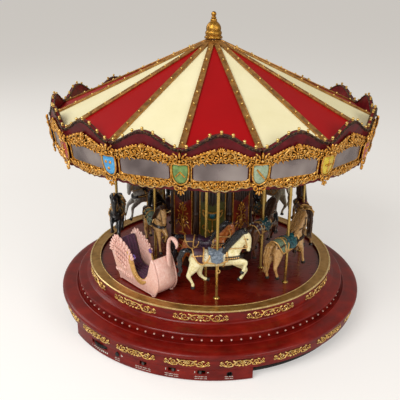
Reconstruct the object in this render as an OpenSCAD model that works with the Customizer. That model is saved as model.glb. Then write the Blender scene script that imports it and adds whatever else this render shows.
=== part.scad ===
// Carousel music box: a stepped round base with lights and controls, a turning deck
// with one sleigh and two rings of galloping figures on poles, and a panelled canopy.
// Millimetres. The origin is on the table under the centre, +Z is up, -Y is the front.

/* [Base] */
// Radius of the lower skirt
skirt_r = 217.5; // [212:0.5:224]
// Height of the skirt's lower edge over the table
skirt_lift = 17; // [14:0.5:20]
// Height of the skirt
skirt_h = 17.5; // [15:0.5:20]
// How far the moulding stands out over the skirt
flange_out = 4.5; // [3:0.5:6]
// Height of the moulding's square edge
flange_h = 3; // [2:0.5:5]
// Rise of the moulding from its edge to the light ledge
moulding_rise = 3.8; // [3:0.2:6]
// How far the wall that holds the lights stands in from the skirt
recess_in = 22.5; // [20.5:0.5:25.5]
// Height of the wall that holds the lights
recess_h = 8; // [6:0.5:11]
// Height of the step's lip over the lights
lip_h = 4.2; // [3:0.2:6]
// How far the lip stands out over the lights
lip_out = 2.5; // [1:0.5:4]
// Rise of the step from its lip to the drum
step_rise = 3.5; // [2:0.5:6]
// How far the drum wall stands in from the wall that holds the lights
drum_in = 16.5; // [14:0.5:19]
// Height of the drum wall
drum_h = 16; // [14:0.5:20]
// Wall thickness of the base mouldings
base_wall = 4; // [3:0.5:5]
// Width of the gold ring
ring_w = 14.2; // [10:0.2:16]
// Thickness of the gold ring
ring_t = 1.6; // [1:0.2:3]
// Radius of the bead on the ring's rim
bead_r = 1.1; // [0.6:0.1:1.6]
// Number of lights round the base
light_count = 100; // [60:1:110]
// Radius of one light
light_r = 1.3; // [0.8:0.1:1.6]
// Height of the rubber feet
foot_h = 4; // [3:0.5:6]
// Radius of a rubber foot
foot_r = 10; // [7:0.5:13]
// Thickness of the base tray's floor
tray_t = 3; // [2:0.5:4]
// How far the base tray's edge stands in from the skirt
tray_in = 10.5; // [8.5:0.5:13.5]
// Number of screws that hold the tray
screw_count = 6; // [3:1:6]
// Radius of a screw's shank
screw_r = 1.5; // [1:0.1:2]

/* [Controls] */
// Height of the controls' centre line over the table
control_z = 13.5; // [13:0.1:14]
// Angle from the front to the panel's left end
panel_from = -57; // [-62:0.5:-53]
// Angle from the front to the panel's right end
panel_to = 13.5; // [12:0.5:20]
// Clearance between the panel's lower edge and the table
panel_lift = 1.5; // [1:0.1:3]
// Angle of the volume wheel
volume_a = -42; // [-43:0.5:-41]
// Radius of the volume wheel
volume_r = 20; // [18:0.5:22]
// Angle of the play button
play_a = -33.2; // [-34:0.2:-32]
// Angles of the song, light and power switches
slide_a = [-23, -12.9, -3.3];
// Width of a switch knob
knob_w = 3; // [2:0.2:4]
// Travel of a two-position switch
slide_travel = 3; // [2:0.1:3.4]
// Angle of the power socket
jack_a = 5.8; // [5:0.2:7]
// Bore radius of the power socket
jack_r = 2.75; // [2.2:0.05:3]

/* [Deck and drive] */
// Depth of the deck below the top of the gold ring
deck_drop = 4.1; // [3:0.1:6]
// Thickness of the deck
deck_t = 4; // [3:0.5:5]
// Clear height from the deck to the ceiling
room_h = 176.5; // [160:0.5:190]
// Radius of the spindle
spindle_r = 4; // [3:0.5:5]
// Teeth on the drive wheel
drive_teeth = 60; // [48:12:60]
// Gear module of the drive wheel
drive_module = 1.5; // [1.2:0.1:1.5]
// Rise and fall of the figures
stroke = 10; // [6:0.5:12]
// Height of the wave track's crest over the tray
crest_h = 32.5; // [29:0.5:34]

/* [Figures] */
// How far the outer poles stand in from the deck's edge
outer_in = 25.3; // [23.3:0.5:27.3]
// Radius of the inner ring of poles
inner_r = 88; // [84:0.5:92]
// Angle of the first outer pole
outer_a = 2.7; // [0:0.1:6]
// Angle of the first inner pole
inner_a = -4.8; // [-9:0.1:0]
// Radius of a pole
pole_r = 2; // [1.5:0.1:2.4]
// Height of the lowest hoof over the deck with the figure down
hoof_lift = 16; // [12:0.5:22]
// Size of an inner figure as a share of an outer one
inner_size = 0.9; // [0.7:0.05:0.95]
// Width of the sleigh
sleigh_w = 29; // [26:0.5:34]
// How far the sleigh stands ahead of its place on the ring
sleigh_ahead = 10.5; // [8:0.5:13]
// Turn of the sleigh's heading from the ring's own direction
sleigh_turn = 4.7; // [0:0.1:6]
// Wall thickness of the sleigh
sleigh_wall = 2.4; // [1.6:0.2:3]

/* [Column] */
// Radius over the corners of the centre column
column_r = 60; // [54:0.5:63]
// Thickness of a column panel
column_panel_t = 2; // [1.2:0.2:3]

/* [Canopy] */
// Radius to the foot of the rounding boards, at the middle of a side
board_r = 209.5; // [205:0.5:212]
// Outward lean of the rounding boards in degrees
board_lean = 8.5; // [4:0.5:10]
// Height of a rounding board at its ends
board_h = 48; // [44:0.5:52]
// Rise of a rounding board's crest in its middle
crest_rise = 16.8; // [12:0.2:20]
// Thickness of a rounding board
board_t = 4; // [3:0.5:5]
// Height of the roof's point over its eaves
roof_rise = 91.6; // [80:0.2:100]
// Thickness of a roof panel
roof_t = 2.2; // [1.6:0.2:3]
// Width of a roof rib at the eaves
rib_w = 6; // [4:0.5:8]
// Thickness of a roof rib
rib_t = 2.4; // [1.6:0.2:3]
// Thickness of the ceiling
ceiling_t = 4; // [3:0.5:5]
// Depth of the gilded mouldings on the boards
gilt_t = 3.6; // [2:0.2:4]
// Width of a board's mirror
mirror_w = 58; // [50:1:60]
// Height of a board's mirror
mirror_h = 20; // [16:0.5:22]
// Width of a corner shield
shield_w = 17; // [14:0.5:18]
// Height of a corner shield
shield_h = 23; // [20:0.5:24]

/* [Fits] */
// Clearance of a running fit, on the radius
run_gap = 0.05; // [0.02:0.01:0.1]
// Gap between other moving pieces
move_gap = 0.3; // [0.2:0.05:0.5]

/* [Hidden] */
$fn = 64;
skin = 0.02;             // gap between two pieces that are only laid together
sides = 16;              // sides of the canopy
half = 180 / sides;
side_a = 1.5;            // the front side's middle, measured from the front
outer_count = 7;         // figures on the outer ring, which has one more place for the sleigh
outer_step = 360 / (outer_count + 1);
inner_count = 6;         // figures on the inner ring
inner_step = 360 / inner_count;
sleigh_a = outer_a - outer_step;

// Heights over the table, from the feet up
tray_top = foot_h + tray_t;
flange_r = skirt_r + flange_out;
recess_r = skirt_r - recess_in;
drum_r = recess_r - drum_in;
tray_r = skirt_r - tray_in;
flange_z = skirt_lift + skirt_h;
edge_z = flange_z + flange_h;
ledge_z = edge_z + moulding_rise;
lip_r = recess_r + lip_out;
lip_z = ledge_z + recess_h;
step_z = lip_z + lip_h;
drum_z = step_z + step_rise;
rim_z = drum_z + drum_h;
ring_top = rim_z + ring_t;
ring_in = drum_r - ring_w;
deck_top = ring_top - deck_drop;
deck_z = deck_top - deck_t;
deck_r = ring_in - 1;
outer_r = deck_r - outer_in;
ceiling_z = deck_top + room_h;
ceiling_top = ceiling_z + ceiling_t;
skirt_in = skirt_r - base_wall;
moulding_in = recess_r - 7;
screw_ring_r = tray_r - 11;
foot_ring_r = tray_r - 23;
foot_a = 15;
volume_ring_r = skirt_r + 2.5 - volume_r;
slot_w = 2 * slide_travel + knob_w + 0.8;
slot_h = 5.4;
play_r = 2.9;
jack_z = tray_top + 3.5;

// The drive
bush_wall = 4;
bush_top = crest_h + tray_top + 9;
plate_t = 3;
plate_z = bush_top - 8;
plate_r = inner_r - 8;
drive_z = 28;
drive_w = 5;
drive_pitch_r = drive_teeth * drive_module / 2;
small_teeth = 12;
wheel_teeth = 36;
wheel_module = 1.1;
wheel_z = 20;
wheel_w = 4;
idler_a = 200;
idler_r = (drive_teeth + small_teeth) * drive_module / 2;
idler_pin_r = 2;
motor_teeth = 12;
motor_reach = (wheel_teeth + motor_teeth) * wheel_module / 2;
motor_r = 12;
motor_at = idler_r + motor_r;
motor_turn = acos((idler_r * idler_r + motor_at * motor_at - motor_reach * motor_reach)
    / (2 * idler_r * motor_at));
motor_a = idler_a + motor_turn;
// Direction from the idler to the motor, in the idler's own turned axes
to_motor = [motor_at * sin(motor_turn), idler_r - motor_at * cos(motor_turn)];
wheel_mesh_a = atan2(to_motor[1], to_motor[0]);
motor_mesh_a = wheel_mesh_a - motor_turn + 180 + 180 / motor_teeth;
bush_r = spindle_r + bush_wall;

// The poles: the foot runs above the wave track by the stroke and a gap
pole_foot_h = 3;
pole_foot_r = pole_r + 1.4;
pole_low_z = tray_top + crest_h + move_gap;
pole_len = ceiling_top + 7 - pole_low_z;
pole_hole_r = pole_r + run_gap;
track_w = 8;
figure_z = deck_top + hoof_lift;
speaker_a = 120;
speaker_r = 25;
speaker_at = outer_r + track_w / 2 + speaker_r + 3;
board_w = 70;
board_d = 44;
board_at = outer_r + track_w / 2 + board_d / 2 + 4;

// The canopy
board_foot_z = ceiling_z - 0.6;
lean_in = tan(board_lean);
function board_face(h) = board_r + h * lean_in;
eave_h = 45;
eave_a = board_face(eave_h) - board_t - 0.9;
eave_z = board_foot_z + eave_h;
apex_a = 9;
apex_z = eave_z + roof_rise;
roof_slope = atan(roof_rise / (eave_a - apex_a));
roof_len = (eave_a - apex_a) / cos(roof_slope);
eave_corner = eave_a / cos(half) - 2;
apex_corner = apex_a / cos(half);
rib_drop = (eave_a / cos(half) - eave_corner) * roof_rise / (eave_a / cos(half) - apex_corner);
rib_slope = atan((roof_rise - rib_drop) / (eave_corner - apex_corner));
rib_len = (eave_corner - apex_corner) / cos(rib_slope);
mirror_y = 12;
shield_y = 9;
corner_lean = atan(lean_in / cos(half));

// Places children at an angle from the front and a radius: x runs anticlockwise, -y outwards
module station(a, r) {
    rotate([0, 0, a]) translate([0, -r, 0]) children();
}

// Turns a sector of a profile, between two angles from the front
module sector(from, to) {
    rotate([0, 0, from - 90]) rotate_extrude(angle = to - from, $fn = 180) children();
}

// ---------------------------------------------------------------- base

// Lower moulding with its hollow skirt, turned as one ring, with screw posts inside
module plinth_skirt() {
    post_r = screw_r + 2.5;
    under_z = ledge_z - 3.3;
    color("maroon") difference() {
        union() {
            rotate_extrude($fn = 180) polygon([
                [moulding_in, under_z], [moulding_in, ledge_z - 0.3], [recess_r + 4.5, ledge_z - 0.3],
                [recess_r + 5.2, ledge_z + 0.6], [recess_r + 6.5, ledge_z + 0.6],
                [recess_r + 7.2, ledge_z], [flange_r - 10, ledge_z], [flange_r - 6, ledge_z - 0.4],
                [flange_r - 3, ledge_z - 1.2], [flange_r - 1, ledge_z - 2.5], [flange_r, edge_z],
                [flange_r, flange_z], [skirt_r, flange_z], [skirt_r, skirt_lift],
                [tray_r - 3.5, skirt_lift], [tray_r - 3.5, skirt_lift + 3],
                [skirt_in, skirt_lift + 3], [skirt_in, flange_z - 3], [skirt_in - 3, under_z]
            ]);
            screw_places() translate([0, 0, tray_top + skin]) cylinder(r = post_r, h = under_z - tray_top + 1);
        }
        screw_places() translate([0, 0, tray_top - 1]) cylinder(r = screw_r + run_gap, h = 14, $fn = 24);
    }
}
module screw_places() {
    for (i = [0 : screw_count - 1]) station(30 + i * 360 / screw_count, screw_ring_r) children();
}

// Upper step and drum wall, turned as one ring
module drum_shell() {
    in_r = recess_r - base_wall;
    wall_in = drum_r - base_wall;
    color("firebrick") rotate_extrude($fn = 180) polygon([
        [recess_r, ledge_z], [recess_r, lip_z], [lip_r, lip_z], [lip_r, step_z - 0.6],
        [lip_r - 0.6, step_z], [drum_r + 2.5, drum_z - 0.5], [drum_r + 1.5, drum_z],
        [drum_r, drum_z + 0.6], [drum_r, rim_z], [ring_in + 0.5, rim_z],
        [ring_in + 0.5, rim_z - 4], [wall_in, rim_z - 4], [wall_in, drum_z - 2],
        [wall_in + 3, drum_z - base_wall], [in_r, step_z - base_wall], [in_r, ledge_z]
    ]);
}

// Flat gold ring round the deck, with a bead on its rim
module gold_ring() {
    color("goldenrod") rotate_extrude($fn = 180) union() {
        translate([ring_in, rim_z]) square([ring_w, ring_t]);
        translate([drum_r, rim_z + ring_t - 0.3]) circle(r = bead_r, $fn = 24);
    }
}

// Half of a scroll's outline: two leaves and an end curl, mirrored about its middle
module scroll_outline(w, h) {
    for (s = [-1, 1]) scale([s, 1]) polygon([
        [0, -h / 2], [w * 0.1, -h * 0.42], [w * 0.17, -h * 0.1], [w * 0.26, -h * 0.3],
        [w * 0.38, -h * 0.42], [w * 0.47, -h * 0.3], [w / 2, 0], [w * 0.46, h * 0.34],
        [w * 0.36, h * 0.42], [w * 0.27, h * 0.18], [w * 0.18, h * 0.1], [w * 0.1, h * 0.3],
        [0, h * 0.34]
    ]);
}

// One scroll laid on a round wall
module wall_scroll(r, w, h, z) {
    t = 0.9;
    intersection() {
        translate([0, -r + 4, z]) rotate([90, 0, 0]) linear_extrude(6) scroll_outline(w, h);
        rotate_extrude($fn = 180) translate([r + skin, z - h]) square([t, 2 * h]);
    }
}

// Cast gilt scrolls on the drum wall and the skirt
module gilt_scrolls() {
    upper = 12;
    lower = 20;
    drum_scroll = [72, drum_h * 0.78];
    skirt_scroll = [56, skirt_h * 0.72];
    color("gold") {
        for (i = [0 : upper - 1]) rotate([0, 0, i * 360 / upper - 4.5])
            wall_scroll(drum_r, drum_scroll[0], drum_scroll[1], drum_z + drum_h * 0.54);
        for (i = [0 : lower - 1]) rotate([0, 0, i * 360 / lower - 8])
            wall_scroll(skirt_r, skirt_scroll[0], skirt_scroll[1], skirt_lift + skirt_h * 0.5);
    }
}

// Small round lights in the wall under the lip
module marquee_lights() {
    color("mistyrose") for (i = [0 : light_count - 1])
        station(i * 360 / light_count, recess_r + skin) translate([0, 0, ledge_z + recess_h * 0.35])
            rotate([90, 0, 0]) cylinder(r1 = light_r, r2 = light_r * 0.55, h = light_r * 1.4, $fn = 24);
}

// Pan under the base: floor, rim, speaker slots and a footstep for the spindle
module base_tray() {
    rim_cut_from = panel_from - 2;
    rim_cut_to = panel_to + 2;
    root = 1;
    color("dimgray") difference() {
        union() {
            translate([0, 0, foot_h]) cylinder(r = tray_r, h = tray_t, $fn = 180);
            sector(rim_cut_to, 360 + rim_cut_from)
                translate([tray_r - 3.5, tray_top - root])
                    square([3, skirt_lift - tray_top + root - skin]);
            translate([0, 0, tray_top - root]) cylinder(r = spindle_r + 6, h = 6 + root);
            station(volume_a, volume_ring_r) translate([0, 0, tray_top - root])
                cylinder(r = idler_pin_r, h = control_z + 3 - tray_top + root, $fn = 32);
        }
        translate([0, 0, tray_top]) cylinder(r = spindle_r + run_gap, h = 10, $fn = 48);
        screw_places() cylinder(r = screw_r + 0.2, h = 20, $fn = 24);
        for (i = [-3 : 3]) station(speaker_a, speaker_at) translate([i * 6 - 1.25, -12, 0])
            cube([2.5, 24, 10]);
    }
}

// Soft feet under the tray
module rubber_feet() {
    color("black") for (i = [0 : 5]) station(foot_a + i * 60, foot_ring_r)
        rotate_extrude($fn = 48) polygon([
            [0, 0], [foot_r - 1, 0], [foot_r, 1], [foot_r, foot_h - skin], [0, foot_h - skin]
        ]);
}

// Pan-head screws from below into the posts
module base_screws() {
    head_h = 1.6;
    color("silver") screw_places() difference() {
        union() {
            translate([0, 0, foot_h - head_h - skin]) cylinder(r = screw_r * 2, h = head_h, $fn = 32);
            translate([0, 0, foot_h - head_h]) cylinder(r = screw_r, h = 13, $fn = 24);
        }
        translate([-screw_r * 1.2, -0.3, 0]) cube([screw_r * 2.4, 0.6, foot_h - head_h + 0.7]);
        translate([-0.3, -screw_r * 1.2, 0]) cube([0.6, screw_r * 2.4, foot_h - head_h + 0.7]);
    }
}

// Loudspeaker that faces down through the slots: basket, cone and magnet
module speaker() {
    station(speaker_a, speaker_at) translate([0, 0, tray_top + skin]) {
        color("gray") rotate_extrude($fn = 64) polygon([
            [speaker_r - 4, 0], [speaker_r, 0], [speaker_r, 1.5], [speaker_r - 2, 1.5],
            [11, 9], [0, 9], [0, 7.5], [10, 7.5], [speaker_r - 4, 1.5]
        ]);
        color("silver") translate([0, 0, 9 + skin]) cylinder(r = 14, h = 7);
    }
}

// Main board on its posts, its chips, and the switch bodies behind the panel
module circuit_board() {
    board_z = 6;
    color("green") station(-90, board_at) translate([0, 0, tray_top + skin]) {
        translate([-board_w / 2, -board_d / 2, board_z]) cube([board_w, board_d, 1.6]);
        for (x = [-1, 1], y = [-1, 1]) translate([x * (board_w / 2 - 5), y * (board_d / 2 - 5), 0])
            cylinder(r = 2.5, h = board_z + 0.5, $fn = 24);
    }
    color("black") station(-90, board_at) translate([0, 0, tray_top + board_z + 1.6 + 2 * skin]) {
        translate([-20, -8, 0]) cube([16, 10, 2]);
        translate([8, -12, 0]) cube([12, 12, 2]);
        translate([12, 10, 0]) cylinder(r = 4, h = 9);
    }
    color("lightslategray") {
        for (a = slide_a) station(a, skirt_in) switch_body();
        station(play_a, skirt_in) translate([-4, 6.2, tray_top + skin])
            cube([8, 5, control_z + 2.5 - tray_top]);
        station(volume_a, volume_ring_r) translate([0, 0, tray_top + skin]) difference() {
            cylinder(r = 6, h = control_z - 2.5 - tray_top - move_gap);
            translate([0, 0, -1]) cylinder(r = idler_pin_r + run_gap, h = 20, $fn = 32);
        }
    }
}

// Slide switch body with the groove that its knob's plate runs in
module switch_body() {
    body_w = slide_travel * 2 + knob_w + 6;
    difference() {
        translate([-body_w / 2, 2.2, tray_top + skin]) cube([body_w, 7, control_z + 3 - tray_top]);
        translate([-body_w / 2 + 1, 1, control_z - 1.6]) cube([body_w - 2, 2.9, 3.2]);
    }
}

// Barrel socket for the power plug
module power_socket() {
    color("black") station(jack_a, skirt_in) difference() {
        union() {
            translate([-5, 0.5, tray_top + skin]) cube([10, 12, 7]);
            translate([0, 1, jack_z]) rotate([90, 0, 0]) cylinder(r = jack_r + 0.75, h = 4);
        }
        translate([0, 10, jack_z]) rotate([90, 0, 0]) difference() {
            cylinder(r = jack_r, h = 20, $fn = 48);
            translate([0, 0, -1]) cylinder(r = 1, h = 12, $fn = 24);
        }
    }
}

// Curved apron under the skirt with the openings for the controls
module control_panel() {
    wheel_reach = skirt_in - volume_ring_r;
    wheel_slot = 2 * sqrt(volume_r * volume_r - wheel_reach * wheel_reach) + 1.6;
    color("brown") difference() {
        sector(panel_from, panel_to) translate([skirt_in, panel_lift])
            square([base_wall, skirt_lift - skin - panel_lift]);
        station(volume_a, skirt_r) translate([-wheel_slot / 2, -5, control_z - slot_h / 2])
            cube([wheel_slot, 14, slot_h]);
        station(play_a, skirt_r) translate([0, 8, control_z]) rotate([90, 0, 0])
            cylinder(r = play_r + move_gap, h = 14, $fn = 48);
        for (i = [0 : 2]) station(slide_a[i], skirt_r)
            translate([-slot_w / 2, -5, control_z - slot_h / 2]) cube([slot_w, 14, slot_h]);
        station(jack_a, skirt_r) translate([0, 8, jack_z]) rotate([90, 0, 0])
            cylinder(r = jack_r + 1, h = 14, $fn = 48);
    }
}

// ---------------------------------------------------------------- controls that move

// Knurled wheel for the volume
module volume_wheel() {
    color("black") station(volume_a, volume_ring_r) translate([0, 0, control_z - 2.2])
        difference() {
            union() {
                cylinder(r = volume_r - 0.5, h = 4.4);
                for (i = [0 : 35]) rotate([0, 0, i * 10]) translate([volume_r - 1, -0.8, 0])
                    cube([1, 1.6, 4.4]);
            }
            translate([0, 0, -1]) cylinder(r = idler_pin_r + run_gap, h = 10, $fn = 32);
        }
}

// Push button with the flange that keeps it behind the panel
module play_button() {
    color("black") station(play_a, skirt_in) translate([0, 0, control_z]) rotate([90, 0, 0]) {
        translate([0, 0, -4]) cylinder(r = play_r, h = 4 + base_wall + 1.2, $fn = 48);
        translate([0, 0, -1.8]) cylinder(r = play_r + 0.5, h = 1.4, $fn = 48);
    }
}

// Knob of a slide switch: a tongue through the slot and a plate in the switch body
module slide_knob(a, at) {
    color("ivory") station(a, skirt_in) translate([at, 0, control_z]) {
        translate([-knob_w / 2, -base_wall - 0.8, -1.8]) cube([knob_w, base_wall + 0.8 + 2.1, 3.6]);
        translate([-knob_w / 2 - 1, 2, -1.3]) cube([knob_w + 2, 1.6, 2.6]);
    }
}
module song_switch() { slide_knob(slide_a[0], 0); }
module light_switch() { slide_knob(slide_a[1], slide_travel / 2); }
module power_switch() { slide_knob(slide_a[2], -slide_travel / 2); }

// ---------------------------------------------------------------- drive

// Outline of a spur gear with straight-flanked teeth, a tooth on the x axis
module gear_outline(teeth, m) {
    r = teeth * m / 2;
    step = 360 / teeth;
    half_tooth = step * 0.235;
    per_mm = 57.3 / r * tan(20);
    function at(rad, a) = [rad * cos(a), rad * sin(a)];
    polygon([for (i = [0 : teeth - 1], p = [
        at(r - 1.2 * m, i * step - half_tooth - 1.2 * m * per_mm * 0.8),
        at(r, i * step - half_tooth),
        at(r + 0.9 * m, i * step - half_tooth + 0.9 * m * per_mm),
        at(r + 0.9 * m, i * step + half_tooth - 0.9 * m * per_mm),
        at(r, i * step + half_tooth),
        at(r - 1.2 * m, i * step + half_tooth + 1.2 * m * per_mm * 0.8)
    ]) p]);
}

// Plate that carries the spindle's bush and the motor on four legs, with the idler's pin
module bearing_plate() {
    leg_z = tray_top + skin;
    color("lightgray") difference() {
        union() {
            translate([0, 0, plate_z]) cylinder(r = plate_r, h = plate_t, $fn = 96);
            for (a = [20, 110, 155, 290]) rotate([0, 0, a]) translate([0, -plate_r + 5, leg_z])
                cylinder(r = 3.5, h = plate_z - leg_z + 1, $fn = 32);
        }
        translate([0, 0, plate_z - 1]) cylinder(r = bush_r + skin, h = 10);
        station(idler_a, idler_r) translate([0, 0, plate_z - 1])
            cylinder(r = idler_pin_r + skin, h = 10, $fn = 32);
        station(motor_a, motor_at) translate([0, 0, plate_z - 1]) cylinder(r = 4, h = 10, $fn = 32);
    }
    color("silver") station(idler_a, idler_r) {
        translate([0, 0, wheel_z - 2.5])
            cylinder(r = idler_pin_r, h = plate_z + plate_t - wheel_z + 2.5, $fn = 32);
        translate([0, 0, wheel_z - 3]) cylinder(r = idler_pin_r + 1.5, h = 1, $fn = 32);
    }
}

// Bronze bush that the spindle turns in
module spindle_bush() {
    bush_h = 12;
    color("gold") translate([0, 0, bush_top - bush_h]) difference() {
        cylinder(r = bush_r, h = bush_h);
        translate([0, 0, -1]) cylinder(r = spindle_r + run_gap, h = bush_h + 2, $fn = 48);
    }
}

// Waved rings under the deck that the poles' feet follow, lowest where a figure is down
module wave_ring(r, waves, phase) {
    steps = 96;
    function crest(a) = crest_h - stroke / 2 * (1 + cos(waves * (a - phase)));
    function rim(rad, a, h) = [rad * sin(a), -rad * cos(a), tray_top + skin + h];
    pts = [for (i = [0 : steps - 1]) let (a = i * 360 / steps)
        each [rim(r - track_w / 2, a, 0), rim(r + track_w / 2, a, 0),
            rim(r + track_w / 2, a, crest(a)), rim(r - track_w / 2, a, crest(a))]];
    function quad(i, j, k) = let (n = ((i + 1) % steps) * 4)
        [[i * 4 + j, n + j, n + k], [i * 4 + j, n + k, i * 4 + k]];
    polyhedron(pts, [for (i = [0 : steps - 1]) each concat(
        quad(i, 1, 0), quad(i, 2, 1), quad(i, 3, 2), quad(i, 0, 3))]);
}
module wave_track() {
    color("slategray") {
        wave_ring(outer_r, (outer_count + 1) / 4, outer_a + outer_step / 2);
        wave_ring(inner_r, inner_count / 2, inner_a);
    }
}

// Small geared motor that hangs from the plate
module motor() {
    body_z = drive_z - 1;
    color("silver") station(motor_a, motor_at) {
        translate([0, 0, body_z]) cylinder(r = motor_r - 0.8, h = plate_z - body_z - skin);
        translate([0, 0, wheel_z - 1]) cylinder(r = 1, h = body_z - wheel_z + 2, $fn = 32);
    }
}
module motor_pinion() {
    color("gold") station(motor_a, motor_at) translate([0, 0, wheel_z]) difference() {
        rotate([0, 0, motor_mesh_a]) linear_extrude(wheel_w + 0.5) gear_outline(motor_teeth, wheel_module);
        translate([0, 0, -1]) cylinder(r = 1 + run_gap, h = 10, $fn = 32);
    }
}

// Compound idler: a wheel that the motor's pinion turns and a small gear for the drive wheel
module idler_gear() {
    small_h = drive_w + 1;
    color("white") station(idler_a, idler_r) difference() {
        union() {
            translate([0, 0, wheel_z]) rotate([0, 0, wheel_mesh_a])
                linear_extrude(wheel_w) gear_outline(wheel_teeth, wheel_module);
            translate([0, 0, wheel_z + 1]) cylinder(r = 5, h = drive_z - wheel_z);
            translate([0, 0, drive_z - 0.5]) rotate([0, 0, 90 + 180 / small_teeth])
                linear_extrude(small_h) gear_outline(small_teeth, drive_module);
        }
        translate([0, 0, wheel_z - 1]) cylinder(r = idler_pin_r + run_gap, h = 30, $fn = 32);
    }
}
// Drive wheel fast on the spindle
module drive_gear() {
    color("white") translate([0, 0, drive_z]) difference() {
        union() {
            rotate([0, 0, idler_a - 90]) linear_extrude(drive_w) gear_outline(drive_teeth, drive_module);
            cylinder(r = spindle_r + 5, h = drive_w + 3);
        }
        translate([0, 0, -1]) cylinder(r = spindle_r + skin, h = 20, $fn = 48);
        for (i = [0 : 5]) rotate([0, 0, i * 60 + 30]) translate([drive_pitch_r * 0.6, 0, -1])
            cylinder(r = drive_pitch_r * 0.2, h = 20, $fn = 48);
    }
}

// Steel spindle from the footstep to the finial, with the hub that the roof rests on
module spindle() {
    color("silver") {
        translate([0, 0, tray_top + skin]) cylinder(r = spindle_r, h = apex_z + 8 - tray_top, $fn = 48);
        translate([0, 0, apex_z - 12]) cylinder(r = apex_a - 0.6, h = 10);
    }
}

// ---------------------------------------------------------------- deck

// Turning deck with a hub below and a guide hole for each pole
module deck() {
    hub_top = deck_z;
    hub_z = bush_top + move_gap + 1;
    color("darkred") difference() {
        union() {
            translate([0, 0, deck_z]) cylinder(r = deck_r, h = deck_t, $fn = 180);
            translate([0, 0, hub_z]) cylinder(r = spindle_r + 8, h = hub_top - hub_z + 1);
        }
        translate([0, 0, hub_z - 1]) cylinder(r = spindle_r + skin, h = 40, $fn = 48);
        pole_holes(deck_z - 1, deck_t + 2);
    }
}
module pole_holes(z, h) {
    for (k = [0 : outer_count - 1]) station(outer_a + k * outer_step, outer_r)
        translate([0, 0, z]) cylinder(r = pole_hole_r, h = h, $fn = 32);
    for (k = [0 : inner_count - 1]) station(inner_a + k * inner_step, inner_r)
        translate([0, 0, z]) cylinder(r = pole_hole_r, h = h, $fn = 32);
}

// Eight-sided hollow column with round pilasters at its corners
module column() {
    n = 8;
    plinth_h = 12;
    color("saddlebrown") difference() {
        rotate([0, 0, side_a - 90 + 180 / n]) translate([0, 0, deck_top + skin]) union() {
            cylinder(r = column_r, h = room_h - 2 * skin, $fn = n);
            cylinder(r = column_r + 5, h = plinth_h, $fn = n);
            translate([0, 0, room_h - plinth_h])
                cylinder(r = column_r + 5, h = plinth_h - 2 * skin, $fn = n);
            for (i = [0 : n - 1]) rotate([0, 0, i * 360 / n]) translate([column_r - 0.5, 0, plinth_h - 1])
                cylinder(r = 3.6, h = room_h - 2 * plinth_h + 2, $fn = 24);
        }
        translate([0, 0, deck_top - 1]) cylinder(r = column_r - 12, h = room_h + 2);
    }
}

// Arched scenery panels on the column's faces
module column_panels() {
    n = 8;
    face = column_r * cos(180 / n);
    w = 2 * column_r * sin(180 / n) - 11;
    foot = 44;
    top = room_h - 32;
    for (i = [0 : n - 1]) color(i % 2 == 0 ? "olivedrab" : "darkred")
        station(side_a + i * 360 / n, face + skin) translate([0, 0, deck_top])
            rotate([90, 0, 0]) linear_extrude(column_panel_t) union() {
                translate([-w / 2, foot]) square([w, top - foot]);
                translate([0, top]) intersection() {
                    circle(r = w / 2);
                    translate([-w / 2, -1]) square([w, w]);
                }
                translate([-w * 0.4, 16]) square([w * 0.8, foot - 22]);
            }
}

// ---------------------------------------------------------------- canopy

// Sixteen-sided ceiling with the upper guide holes
module ceiling() {
    edge = board_face(-2) - board_t - 1.2;
    corner = edge / cos(half);
    color("maroon") difference() {
        rotate([0, 0, side_a - 90 + half]) translate([0, 0, ceiling_z]) linear_extrude(ceiling_t)
            polygon([for (i = [0 : sides - 1]) corner * [cos(2 * half * i), sin(2 * half * i)]]);
        translate([0, 0, ceiling_z - 1]) cylinder(r = spindle_r + skin, h = ceiling_t + 2, $fn = 48);
        pole_holes(ceiling_z - 1, ceiling_t + 2);
    }
}

// Sixteen flat panels, painted by turns red and cream
module roof_panels() {
    gap = 0.6;
    w_eave = 2 * eave_a * tan(half) - gap;
    w_apex = 2 * apex_a * tan(half) - gap;
    for (i = [0 : sides - 1]) color(i % 2 == 0 ? "crimson" : "cornsilk")
        station(side_a + i * 2 * half, eave_a) translate([0, 0, eave_z]) rotate([roof_slope, 0, 0])
            translate([0, 0, -roof_t]) linear_extrude(roof_t) polygon([
                [-w_eave / 2, 0], [w_eave / 2, 0], [w_apex / 2, roof_len], [-w_apex / 2, roof_len]
            ]);
}

// Tapered ribs over the seams
module roof_ribs() {
    top_w = 2 * apex_corner * sin(half) - 1;
    color("peru") for (i = [0 : sides - 1])
        station(side_a + half + i * 2 * half, eave_corner) translate([0, 0, eave_z + rib_drop + skin])
            rotate([rib_slope, 0, 0]) linear_extrude(rib_t) polygon([
                [-rib_w / 2, 0], [rib_w / 2, 0], [top_w / 2, rib_len], [-top_w / 2, rib_len]
            ]);
}

// Puts children on a rounding board's face: x along it, y up it, z out of it
module board_place(i) {
    station(side_a + i * 2 * half, board_r) translate([0, 0, board_foot_z])
        rotate([90 + board_lean, 0, 0]) children();
}
function board_half(y) = (board_face(y) - board_t) * tan(half) - 0.4;
function crest_y(x) = board_h + crest_rise * (0.5 + 0.5 * cos(180 * x / board_half(board_h)));
function foot_y(x) = -1.6 * (1 + cos(180 * x / board_half(0)))
    + 0.9 * cos(360 * 3.5 * x / board_half(0));

// Boards with an arched crest and a scalloped foot
module rounding_boards() {
    n = 16;
    color("maroon") for (i = [0 : sides - 1]) board_place(i) translate([0, 0, -board_t])
        linear_extrude(board_t) polygon(concat(
            [for (k = [0 : n]) let (x = board_half(0) * (2 * k / n - 1)) [x, foot_y(x)]],
            [for (k = [0 : n]) let (x = board_half(board_h) * (1 - 2 * k / n)) [x, crest_y(x)]]));
}

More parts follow.
